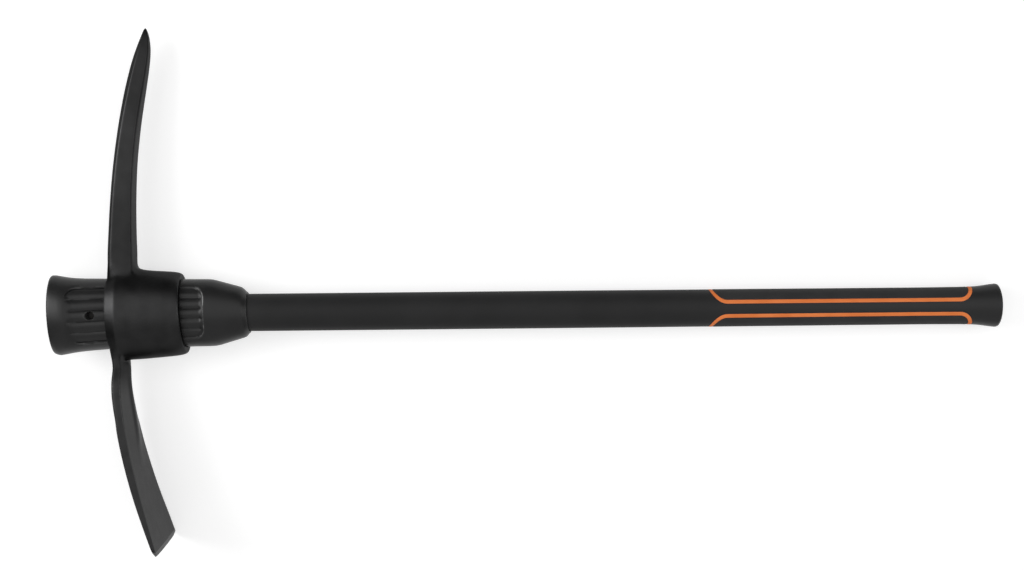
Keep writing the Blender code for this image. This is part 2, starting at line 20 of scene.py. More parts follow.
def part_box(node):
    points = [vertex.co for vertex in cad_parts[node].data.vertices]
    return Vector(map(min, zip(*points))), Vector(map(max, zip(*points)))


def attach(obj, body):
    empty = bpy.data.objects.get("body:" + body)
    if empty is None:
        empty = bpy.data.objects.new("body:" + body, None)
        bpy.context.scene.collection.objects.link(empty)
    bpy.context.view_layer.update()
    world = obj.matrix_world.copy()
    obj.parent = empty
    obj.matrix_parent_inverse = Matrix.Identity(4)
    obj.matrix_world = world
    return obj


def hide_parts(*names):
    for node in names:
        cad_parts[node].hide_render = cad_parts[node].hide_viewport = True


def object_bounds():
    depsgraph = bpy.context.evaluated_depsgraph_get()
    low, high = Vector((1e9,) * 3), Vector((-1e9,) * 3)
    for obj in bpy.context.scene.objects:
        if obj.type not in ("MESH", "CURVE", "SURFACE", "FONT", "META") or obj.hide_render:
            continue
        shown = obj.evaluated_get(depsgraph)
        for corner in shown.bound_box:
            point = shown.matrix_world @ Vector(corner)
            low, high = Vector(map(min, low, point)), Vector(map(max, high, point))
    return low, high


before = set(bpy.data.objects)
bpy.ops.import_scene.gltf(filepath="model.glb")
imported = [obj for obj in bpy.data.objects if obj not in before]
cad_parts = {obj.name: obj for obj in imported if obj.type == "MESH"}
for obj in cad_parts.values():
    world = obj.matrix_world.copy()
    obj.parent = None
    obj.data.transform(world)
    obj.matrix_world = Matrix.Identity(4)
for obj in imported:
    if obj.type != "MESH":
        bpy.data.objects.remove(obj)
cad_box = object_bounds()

LOG = logging.getLogger("pickaxe")

Colour = tuple[float, float, float]
Profile = tuple[tuple[float, ...], ...]

MM = 0.001
LEAST_EDGE = 0.01 * MM
EASE_READS = 9
EDGE_FALLOFF = 1.5
NODE_STEP = (180, 160)
NODE_ROWS = 5


def grey(level: float, cool: float = 0.0) -> Colour:
    """Neutral colour, or with cool one that is slightly bluer."""
    return level, level, level + cool


class Body(Enum):
    """The two rigid bodies of the tool."""

    HANDLE = "handle"
    HEAD = "head"


class Side(Enum):
    """A side of the tool, as the sign of Z on it."""

    NEAR = 1
    FAR = -1


class Panel(Enum):
    """The two grip panels, as the turn round X that puts the first one in its place."""

    UPPER = 0.0
    LOWER = math.pi


class Socket(Enum):
    """Kinds of socket that a node group can have."""

    VALUE = "NodeSocketFloat"
    VECTOR = "NodeSocketVector"


def between(profile: Profile, x: float) -> list[float]:
    """Read a profile by straight interpolation.

    Args:
        profile: rows of (place, value, ...), with the places in rising order.
        x: the place to read.

    Returns:
        One number for each value column.
    """
    table = np.array(profile, dtype=float)
    return [float(np.interp(x, table[:, 0], column)) for column in table[:, 1:].T]


def eased(profile: Profile, x: float, reach: float) -> list[float]:
    """Read a profile with its corners rounded off over a short length.

    Args:
        profile: rows of (place, value, ...), with the places in rising order.
        x: the place to read.
        reach: how far to each side of x the profile is averaged; it shrinks at the ends.

    Returns:
        One number for each value column.
    """
    reach = max(0.0, min(reach, x - profile[0][0], profile[-1][0] - x))
    reads = [between(profile, x + reach * share) for share in np.linspace(-1, 1, EASE_READS)]
    return [float(value) for value in np.mean(reads, axis=0)]


def through(profile: Profile, x: float) -> np.ndarray:
    """Read a smooth curve through a profile's rows.

    Args:
        profile: rows of (place, value, ...), with the places in rising order.
        x: the place to read.

    Returns:
        One number for each value column.
    """
    table = np.array(profile, dtype=float)
    places, values = table[:, 0], table[:, 1:]
    slopes = np.gradient(values, places, axis=0)
    i = int(np.clip(np.searchsorted(places, x) - 1, 0, len(places) - 2))
    span = places[i + 1] - places[i]
    t = min(max((x - places[i]) / span, 0.0), 1.0)
    start = (1 + 2 * t) * (1 - t) ** 2 * values[i] + t * (1 - t) ** 2 * span * slopes[i]
    end = t * t * (3 - 2 * t) * values[i + 1] + t * t * (t - 1) * span * slopes[i + 1]
    return start + end


def smooth_step(t: float) -> float:
    """Ease from 0 to 1 as t goes from 0 to 1, level at both ends."""
    t = min(max(t, 0.0), 1.0)
    return t * t * (3 - 2 * t)


def spaced(places: Sequence[float], least: float) -> list[float]:
    """Sort places and drop each one that follows another too closely.

    Args:
        places: the places, in any order.
        least: the least spacing.

    Returns:
        The places that are kept, in rising order.
    """
    kept: list[float] = []
    for place in sorted(places):
        if not kept or place - kept[-1] >= least:
            kept.append(place)
    return kept


def oval(x: float, half_height: float, half_depth: float, sides: int) -> list[Vector]:
    """Points of an oval section, from +Y round to +Z.

    Args:
        x: place along the handle.
        half_height: half its size along Y.
        half_depth: half its size along Z.
        sides: number of points.

    Returns:
        The points.
    """
    angles = (2 * math.pi * i / sides for i in range(sides))
    return [Vector((x, half_height * math.cos(a), half_depth * math.sin(a))) for a in angles]


def bridge(bm: bmesh.types.BMesh, first: Sequence, second: Sequence) -> None:
    """Add quads between two closed rings of vertices.

    Args:
        bm: the mesh to add to.
        first: one ring.
        second: the other ring, whose vertices pair with the first's in order.
    """
    count = len(first)
    for i in range(count):
        j = (i + 1) % count
        bm.faces.new((first[i], first[j], second[j], second[i]))


def loft(bm: bmesh.types.BMesh, rings: Sequence[Sequence[Vector]], capped: bool = True) -> list[list]:
    """Skin through rings of points.

    Args:
        bm: the mesh to add to.
        rings: closed rings with the same number of points.
        capped: whether the first and last ring are closed with a face.

    Returns:
        The rings of vertices.
    """
    made = [[bm.verts.new(p) for p in ring] for ring in rings]
    for first, second in zip(made, made[1:]):
        bridge(bm, first, second)
    if capped:
        bm.faces.new(made[0])
        bm.faces.new(made[-1])
    return made


def crease(bm: bmesh.types.BMesh, pairs: Iterable[tuple], amount: float) -> None:
    """Sharpen the edges between pairs of vertices for subdivision.

    Args:
        bm: the cage.
        pairs: the two vertices of each edge; a pair with no edge is passed over.
        amount: from 0, round, to 1, sharp.
    """
    layer = bm.edges.layers.float["crease_edge"]
    for pair in pairs:
        edge = bm.edges.get(pair)
        if edge:
            edge[layer] = amount


def sides_of(ring: Sequence, starts: Iterable[int]) -> list[tuple]:
    """Pairs of neighbours on a closed ring, one for each start."""
    return [(ring[i % len(ring)], ring[(i + 1) % len(ring)]) for i in starts]


def bmesh_object(name: str, bm: bmesh.types.BMesh) -> bpy.types.Object:
    """Turn a bmesh into a linked object with its faces pointing out.

    Args:
        name: the object's name.
        bm: the mesh, which is freed.

    Returns:
        The object.
    """
    bmesh.ops.recalc_face_normals(bm, faces=bm.faces)
    mesh = bpy.data.meshes.new(name)
    bm.to_mesh(mesh)
    bm.free()
    obj = bpy.data.objects.new(name, mesh)
    bpy.context.scene.collection.objects.link(obj)
    return obj


def carve(obj: bpy.types.Object, cutters: Sequence[bpy.types.Object]) -> None:
    """Apply an object's modifiers, then cut other objects out of it and delete them.

    Args:
        obj: the object to cut.
        cutters: closed objects, each taken away from obj in turn.
    """
    for cutter in cutters:
        modifier = obj.modifiers.new(cutter.name, "BOOLEAN")
        modifier.operation = "DIFFERENCE"
        modifier.solver = "EXACT"
        modifier.object = cutter
    bpy.context.view_layer.update()
    graph = bpy.context.evaluated_depsgraph_get()
    mesh = bpy.data.meshes.new_from_object(obj.evaluated_get(graph))
    bm = bmesh.new()
    bm.from_mesh(mesh)
    bmesh.ops.dissolve_degenerate(bm, dist=LEAST_EDGE, edges=bm.edges)
    bm.to_mesh(mesh)
    bm.free()
    obj.modifiers.clear()
    old = obj.data
    obj.data = mesh
    mesh.name = obj.name
    bpy.data.meshes.remove(old)
    for cutter in cutters:
        bpy.data.objects.remove(cutter, do_unlink=True)


def shade(obj: bpy.types.Object, sharp_angle: float) -> None:
    """Shade an object smooth, except across edges sharper than an angle in degrees."""
    obj.data.shade_smooth()
    obj.data.set_sharp_from_angle(angle=math.radians(sharp_angle))


def mark_edges(obj: bpy.types.Object, full_angle: float) -> None:
    """Store how strongly each vertex lies on an outer edge, as the attribute edge.

    Args:
        obj: the mesh object.
        full_angle: turn between two faces, in degrees, that counts as a full edge.
    """
    bm = bmesh.new()
    bm.from_mesh(obj.data)
    layer = bm.verts.layers.float.new("edge")
    limit = math.radians(full_angle)
    for vertex in bm.verts:
        turns = [e.calc_face_angle_signed(0.0) for e in vertex.link_edges]
        vertex[layer] = min(1.0, max(0.0, max(turns, default=0.0) / limit))
    bm.to_mesh(obj.data)
    bm.free()


def mark_points(obj: bpy.types.Object, name: str, share: Callable[[bpy.types.MeshVertex], float]) -> None:
    """Store a share between 0 and 1 for each vertex, as an attribute that a finish reads.

    Args:
        obj: the mesh object.
        name: the attribute's name.
        share: gives a vertex's share.
    """
    layer = obj.data.attributes.new(name, "FLOAT", "POINT")
    for vertex in obj.data.vertices:
        layer.data[vertex.index].value = share(vertex)


@dataclass(frozen=True)
class ToolFrame:
    """Where the tool lies: on the adze's lower corner, the eye's side and the rim of the butt."""

    rest_on_adze: tuple[float, float, float] = (0.0055, -0.2204, -0.0396)
    rest_on_eye: tuple[float, float, float] = (-0.0239, 0.0018, -0.02985)
    rest_on_butt: tuple[float, float, float] = (0.8062, 0.0, -0.0187)
    core_middle: float = 0.3525

    def matrix(self) -> Matrix:
        """Matrix from the tool's frame to the world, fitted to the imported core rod.

        Returns:
            The matrix, a turn and a shift.
        """
        adze, eye, butt = (Vector(p) for p in (self.rest_on_adze, self.rest_on_eye, self.rest_on_butt))
        along = (butt - eye).normalized()
        up = (butt - adze).cross(eye - adze).normalized()
        if up.z < 0:
            up.negate()
        turn = Matrix((along, up.cross(along), up))
        low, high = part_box("core_rod")
        origin = (low + high) / 2 - turn @ Vector((self.core_middle, 0, 0))
        return Matrix.Translation(origin) @ turn.to_4x4()


class Graph:
    """Builds a node tree: adds nodes, sets their values and links their sockets by name."""

    def __init__(self, tree: bpy.types.NodeTree) -> None:
        """Keep the tree and count its nodes, to lay them out from left to right."""
        self.tree = tree
        self.count = 0

    def add(self, kind: str, values: dict | None = None, **settings: object) -> bpy.types.Node:
        """Add a node.

        Args:
            kind: the node's type, such as ShaderNodeTexNoise.
            values: what each input gets, by name or index: a constant, or an output socket.
            settings: the node's own properties.

        Returns:
            The node.
        """
        node = self.tree.nodes.new(kind)
        node.location = (self.count * NODE_STEP[0], -(self.count % NODE_ROWS) * NODE_STEP[1])
        self.count += 1
        for key, value in settings.items():
            setattr(node, key, value)
        for key, value in (values or {}).items():
            socket = node.inputs[key]
            if isinstance(value, bpy.types.NodeSocket):
                self.tree.links.new(value, socket)
            else:
                socket.default_value = value
        return node

    def math(self, operation: str, first: object, second: object = 0.0) -> bpy.types.NodeSocket:
        """Add a Math node on one or two numbers or sockets, and return its output."""
        return self.add("ShaderNodeMath", {0: first, 1: second}, operation=operation).outputs[0]

    def noise(
        self, coordinates: object, scale: object, detail: float, roughness: float
    ) -> bpy.types.NodeSocket:
        """Add a Noise Texture and return its value."""
        values = {"Vector": coordinates, "Scale": scale, "Detail": detail, "Roughness": roughness}
        return self.add("ShaderNodeTexNoise", values).outputs["Fac"]

    def ramp(
        self, value: object, low: float, high: float, start: float = 0.0, end: float = 1.0
    ) -> bpy.types.NodeSocket:
        """Map a value from the range low..high to start..end, clamped, and return it."""
        values = {"Value": value, "From Min": low, "From Max": high, "To Min": start, "To Max": end}
        return self.add("ShaderNodeMapRange", values, clamp=True).outputs["Result"]

    def attribute(self, name: str) -> bpy.types.NodeSocket:
        """Add an Attribute node and return the share that a mesh has stored under a name."""
        return self.add("ShaderNodeAttribute", attribute_name=name).outputs["Fac"]

    def stretched(self, coordinates: object, scale: tuple[float, float, float]) -> bpy.types.NodeSocket:
        """Add a Mapping node and return scaled coordinates; a small scale draws a texture out that way."""
        return self.add("ShaderNodeMapping", {"Vector": coordinates, "Scale": scale}).outputs[0]

    def mix(self, share: object, first: object, second: object) -> bpy.types.NodeSocket:
        """Mix two colours.

        Args:
            share: how much of the second.
            first: a colour or a socket.
            second: a colour or a socket.

        Returns:
            The mixed colour.
        """
        node = self.add("ShaderNodeMix", data_type="RGBA")
        for key, value in ((0, share), (6, first), (7, second)):
            if isinstance(value, bpy.types.NodeSocket):
                self.tree.links.new(value, node.inputs[key])
            else:
                node.inputs[key].default_value = (*value, 1.0) if isinstance(value, tuple) else value
        return node.outputs[2]

    def link(self, source: bpy.types.NodeSocket, target: bpy.types.NodeSocket) -> None:
        """Link an output to an input."""
        self.tree.links.new(source, target)


class EffectGroup:
    """A shader node group with named sockets, made once and used by several materials."""

    def __init__(self, name: str, inputs: dict[str, Socket], outputs: dict[str, Socket]) -> None:
        """Make the empty group and its sockets.

        Args:
            name: the group's name.
            inputs: the kind of each input, by name.
            outputs: the kind of each output, by name.
        """
        self.tree = bpy.data.node_groups.new(name, "ShaderNodeTree")
        for socket, kind in inputs.items():
            self.tree.interface.new_socket(socket, in_out="INPUT", socket_type=kind.value)
        for socket, kind in outputs.items():
            self.tree.interface.new_socket(socket, in_out="OUTPUT", socket_type=kind.value)
        self.graph = Graph(self.tree)
        self.given = self.graph.add("NodeGroupInput").outputs
        self.result = self.graph.add("NodeGroupOutput").inputs

    def put(self, name: str, value: bpy.types.NodeSocket) -> None:
        """Link a value to one of the group's outputs."""
        self.graph.link(value, self.result[name])

    def place(self, graph: Graph, values: dict) -> bpy.types.NodeOutputs:
        """Put the group into a material.

        Args:
            graph: the material's graph.
            values: what each of the group's inputs gets there.

        Returns:
            The group's outputs.
        """
        node = graph.add("ShaderNodeGroup", node_tree=self.tree)
        for key, value in values.items():
            if isinstance(value, bpy.types.NodeSocket):
                graph.link(value, node.inputs[key])
            else:
                node.inputs[key].default_value = value
        return node.outputs


def sockets(*values: str) -> dict[str, Socket]:
    """Inputs of a group: the coordinates, and then one number for each name."""
    return {"Coordinates": Socket.VECTOR, **{value: Socket.VALUE for value in values}}


def make_skin_group() -> EffectGroup:
    """Fine grain of a moulded or coated surface over slow, shallow waves.

    Returns:
        The group. Mottle is a mask of the waves alone.
    """
    group = EffectGroup(
        "moulded_skin",
        sockets("Grain Size", "Wave Size", "Wave Share"),
        {"Height": Socket.VALUE, "Mottle": Socket.VALUE},
    )
    graph, given = group.graph, group.given
    grain_scale = graph.math("DIVIDE", 1.0, given["Grain Size"])
    wave_scale = graph.math("DIVIDE", 1.0, given["Wave Size"])
    grain = graph.noise(given["Coordinates"], grain_scale, detail=3.0, roughness=0.6)
    waves = graph.noise(given["Coordinates"], wave_scale, detail=1.5, roughness=0.4)
    share = graph.math("MULTIPLY", waves, given["Wave Share"])
    group.put("Height", graph.math("ADD", grain, share))
    group.put("Mottle", graph.ramp(waves, low=0.35, high=0.65))
    return group


def make_wear_group() -> EffectGroup:
    """Broken wear along the edges that a mesh has marked.

    Returns:
        The group. Its mask is 1 where an edge is worn through.
    """
    group = EffectGroup("edge_wear", sockets("Edge", "Patch Size", "Amount"), {"Mask": Socket.VALUE})
    graph, given = group.graph, group.given
    patch_scale = graph.math("DIVIDE", 1.0, given["Patch Size"])
    spots = graph.noise(given["Coordinates"], patch_scale, detail=4.0, roughness=0.65)
    patches = graph.ramp(spots, low=0.38, high=0.62, start=0.15)
    on_edges = graph.math("MULTIPLY", graph.math("POWER", given["Edge"], EDGE_FALLOFF), patches)
    group.put("Mask", graph.math("MULTIPLY", on_edges, given["Amount"]))
    return group


def make_seam_group() -> EffectGroup:
    """Thin parting line that a mould leaves round a piece, where the tool's Z is zero.

    Returns:
        The group. Its height is 1 on the line.
    """
    group = EffectGroup("parting_line", sockets("Width"), {"Height": Socket.VALUE})
    graph, given = group.graph, group.given
    height = graph.add("ShaderNodeSeparateXYZ", {0: given["Coordinates"]}).outputs["Z"]
    distance = graph.math("DIVIDE", graph.math("ABSOLUTE", height), given["Width"])
    group.put("Height", graph.ramp(distance, low=0.0, high=1.0, start=1.0, end=0.0))
    return group


@dataclass(frozen=True)
class Effects:
    """The shared node groups."""

    skin: EffectGroup
    wear: EffectGroup
    seam: EffectGroup

    @classmethod
    def make(cls) -> "Effects":
        """Build each group once."""
        return cls(make_skin_group(), make_wear_group(), make_seam_group())


def start_material(name: str) -> tuple[bpy.types.Material, Graph, bpy.types.Node, bpy.types.NodeSocket]:
    """Start a material.

    Args:
        name: the material's name.

    Returns:
        The material, its graph, its Principled shader and coordinates in the tool's own frame.
    """
    material = bpy.data.materials.new(name)
    material.use_nodes = True
    graph = Graph(material.node_tree)
    shader = material.node_tree.nodes["Principled BSDF"]
    place = ToolFrame().matrix()
    laid = {"Location": place.to_translation(), "Rotation": place.to_euler()}
    laid["Vector"] = graph.add("ShaderNodeTexCoord").outputs["Object"]
    coordinates = graph.add("ShaderNodeMapping", laid, vector_type="TEXTURE").outputs["Vector"]
    return material, graph, shader, coordinates


def add_bump(graph: Graph, shader: bpy.types.Node, height: object, distance: float) -> None:
    """Turn a height between 0 and 1 into a bump of a true depth in metres."""
    values = {"Height": height, "Distance": distance, "Strength": 1.0}
    graph.link(graph.add("ShaderNodeBump", values).outputs["Normal"], shader.inputs["Normal"])


@dataclass(frozen=True)
class MouldedFinish:
    """Finish of a moulded plastic or rubber piece; wave_share and seam_share are of the grain's depth."""

    name: str
    dark: Colour
    light: Colour
    roughness: tuple[float, float]
    grain_size: float
    grain_depth: float
    wave_size: float
    wave_share: float
    worn: Colour
    wear: float
    wear_patch: float = 6 * MM
    seam_share: float = 0.0
    seam_width: float = 0.35 * MM
    specular: float = 0.14
    # colour, and lower roughness, that a piece takes towards the butt where its vertices are marked
    handled: Colour | None = None
    butt_polish: float = 0.0
    height_range: tuple[float, float] = (0.3, 1.0)

    def make(self, effects: Effects) -> bpy.types.Material:
        """Build the material.

        Args:
            effects: the shared node groups.

        Returns:
            The material.
        """
        material, graph, shader, coordinates = start_material(self.name)
        skin = effects.skin.place(graph, {
            "Coordinates": coordinates,
            "Grain Size": self.grain_size,
            "Wave Size": self.wave_size,
            "Wave Share": self.wave_share,
        })
        worn = effects.wear.place(graph, {
            "Coordinates": coordinates,
            "Edge": graph.attribute("edge"),
            "Patch Size": self.wear_patch,
            "Amount": self.wear,
        })["Mask"]
        colour = graph.mix(skin["Mottle"], self.dark, self.light)
        rough = graph.ramp(skin["Height"], *self.height_range, *self.roughness)
        if self.handled:
            share = graph.attribute("handled")
            colour = graph.mix(share, colour, self.handled)
            rough = graph.math("SUBTRACT", rough, graph.math("MULTIPLY", share, self.butt_polish))
        # The worn colour goes onto marked edges; on the sleeve those marks are mostly a painted highlight on
        # the recess's rim at the grip end.
        graph.link(graph.mix(worn, colour, self.worn), shader.inputs["Base Color"])
        graph.link(rough, shader.inputs["Roughness"])
        height = skin["Height"]
        if self.seam_share:
            seam = effects.seam.place(graph, {"Coordinates": coordinates, "Width": self.seam_width})["Height"]
            height = graph.math("ADD", height, graph.math("MULTIPLY", seam, self.seam_share))
        add_bump(graph, shader, height, self.grain_depth)
        shader.inputs["Specular IOR Level"].default_value = self.specular
        return material


@dataclass(frozen=True)
class ForgedFinish:
    """Dark lacquer over forged steel, with the adze's ground edge left bare, and painted shade and a painted
    sheen laid into its colour.
    """

    name: str = "lacquered_forging"
    dark: Colour = grey(0.0312, 0.0003)
    light: Colour = grey(0.0370, 0.0003)
    worn: Colour = grey(0.065, 0.001)
    # painted sheen: lighter colour that stands for the reflection on the adze's inner face
    painted_sheen: Colour = grey(0.074)
    # painted shade: near-black laid into the arms' roots and along the pick
    painted_shade: Colour = grey(0.006)
    bare: Colour = grey(0.15)
    edge_tint: Colour = grey(0.56)
    roughness: tuple[float, float] = (0.33, 0.43)
    bare_roughness: float = 0.34
    scale_size: float = 1.6 * MM
    scale_depth: float = 0.09 * MM
    wave_size: float = 14 * MM
    wave_share: float = 0.8
    wear: float = 0.35
    wear_patch: float = 5 * MM
    line_spacing: float = 0.5 * MM
    line_depth: float = 0.02 * MM
    line_stretch: float = 0.06
    scale_ground_off: float = 0.85
    height_range: tuple[float, float] = (0.5, 1.3)

    def make(self, effects: Effects) -> bpy.types.Material:
        """Build the material.

        Args:
            effects: the shared node groups.

        Returns:
            The material.
        """
        material, graph, shader, coordinates = start_material(self.name)
        skin = effects.skin.place(graph, {
            "Coordinates": coordinates,
            "Grain Size": self.scale_size,
            "Wave Size": self.wave_size,
            "Wave Share": self.wave_share,
        })
        worn = effects.wear.place(graph, {
            "Coordinates": coordinates,
            "Edge": graph.attribute("edge"),
            "Patch Size": self.wear_patch,
            "Amount": self.wear,
        })["Mask"]
        ground = graph.attribute("ground")
        colour = graph.mix(skin["Mottle"], self.dark, self.light)
        layers = (
            (worn, self.worn),
            # painted sheen on the adze's inner face
            (graph.attribute("painted_sheen"), self.painted_sheen),
            # painted shade in the arms' roots and along the pick
            (graph.attribute("painted_shade"), self.painted_shade),
            (ground, self.bare),
        )
        for share, layer in layers:
            colour = graph.mix(share, colour, layer)
        graph.link(colour, shader.inputs["Base Color"])
        rough = graph.ramp(skin["Height"], *self.height_range, *self.roughness)
        smoother = graph.math("MULTIPLY", ground, graph.math("SUBTRACT", self.bare_roughness, rough))
        graph.link(graph.math("ADD", rough, smoother), shader.inputs["Roughness"])
        drawn = graph.stretched(coordinates, (self.line_stretch, self.line_stretch, 1.0))
        lines = graph.noise(drawn, 1.0 / self.line_spacing, detail=2.0, roughness=0.5)
        line_share = graph.math("MULTIPLY", ground, self.line_depth / self.scale_depth)
        coat_share = graph.math("SUBTRACT", 1.0, graph.math("MULTIPLY", ground, self.scale_ground_off))
        height = graph.math("MULTIPLY", skin["Height"], coat_share)
        height = graph.math("ADD", height, graph.math("MULTIPLY", lines, line_share))
        add_bump(graph, shader, height, self.scale_depth)
        shader.inputs["Metallic"].default_value = 1.0
        shader.inputs["Specular Tint"].default_value = (*self.edge_tint, 1.0)
        return material


@dataclass(frozen=True)
class FibreFinish:
    """Pultruded rod: long glass fibres in a dark resin."""

    name: str = "glass_fibre_rod"
    resin: Colour = grey(0.014)
    fibre: Colour = (0.05, 0.047, 0.040)
    fibre_width: float = 0.3 * MM
    fibre_depth: float = 0.05 * MM
    fibre_stretch: float = 0.02
    roughness: tuple[float, float] = (0.45, 0.60)
    fibre_range: tuple[float, float] = (0.4, 0.65)
    height_range: tuple[float, float] = (0.3, 0.7)

    def make(self) -> bpy.types.Material:
        """Build the material, with the fibres along the handle.

        Returns:
            The material.
        """
        material, graph, shader, coordinates = start_material(self.name)
        drawn = graph.stretched(coordinates, (self.fibre_stretch, 1.0, 1.0))
        fibres = graph.noise(drawn, 1.0 / self.fibre_width, detail=2.0, roughness=0.6)
        share = graph.ramp(fibres, *self.fibre_range)
        graph.link(graph.mix(share, self.resin, self.fibre), shader.inputs["Base Color"])
        rough = graph.ramp(fibres, *self.height_range, *self.roughness)
        graph.link(rough, shader.inputs["Roughness"])
        add_bump(graph, shader, fibres, self.fibre_depth)
        return material


# On the sleeve the worn colour, at full wear, is mostly a painted highlight on the recess's rim at the grip
# end.
NYLON = MouldedFinish(
    name="moulded_nylon", dark=grey(0.0100, 0.0002), light=grey(0.0125, 0.0002), roughness=(0.31, 0.41),
    grain_size=0.7 * MM, grain_depth=0.035 * MM, wave_size=22 * MM, wave_share=0.6,
    worn=grey(0.46), wear=1.0, seam_share=1.6, specular=0.33,
)
CASING = MouldedFinish(
    name="shaft_casing", dark=grey(0.0160, 0.0003), light=grey(0.0188, 0.0003), roughness=(0.50, 0.60),
    grain_size=0.6 * MM, grain_depth=0.03 * MM, wave_size=30 * MM, wave_share=0.8,
    worn=grey(0.03), wear=0.3, seam_share=1.4, specular=0.20,
    handled=grey(0.0220, 0.0004), butt_polish=0.20,
)
RUBBER = MouldedFinish(
    name="grip_rubber", dark=grey(0.0240, 0.0004), light=grey(0.0290, 0.0004), roughness=(0.60, 0.72),
    grain_size=0.45 * MM, grain_depth=0.05 * MM, wave_size=18 * MM, wave_share=0.3,
    worn=grey(0.03), wear=0.3, specular=0.24,
)
ORANGE = MouldedFinish(
    name="orange_elastomer", dark=(0.78, 0.200, 0.052), light=(0.84, 0.230, 0.066), roughness=(0.48, 0.60),
    grain_size=0.5 * MM, grain_depth=0.03 * MM, wave_size=15 * MM, wave_share=0.3,
    worn=(0.82, 0.26, 0.10), wear=0.2,
)


@dataclass(frozen=True)
class Piece:
    """How a finished mesh joins the tool."""

    obj: bpy.types.Object
    body: Body
    node: str
    slot: str
    material: bpy.types.Material

    def fit(self, place: Matrix) -> None:
        """Lay the piece down, dress it and let it ride on its body in place of its node.

        Args:
            place: matrix from the tool's frame to the world.
        """
        self.obj.data.materials.clear()
        self.obj.data.materials.append(self.material)
        self.obj.data.transform(place)
        self.stay_in_box()
        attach(self.obj, self.body.value)
        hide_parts(self.node)
        faces = len(self.obj.data.polygons)
        LOG.info("%s rides on %s for %s: %d faces", self.obj.name, self.body.value, self.node, faces)

    def stay_in_box(self) -> None:
        """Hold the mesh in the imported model's box, which a finer skin passes by less than 0.1 mm."""
        low, high = (Vector(corner) for corner in cad_box)
        for vertex in self.obj.data.vertices:
            for axis in range(3):
                vertex.co[axis] = min(max(vertex.co[axis], low[axis]), high[axis])


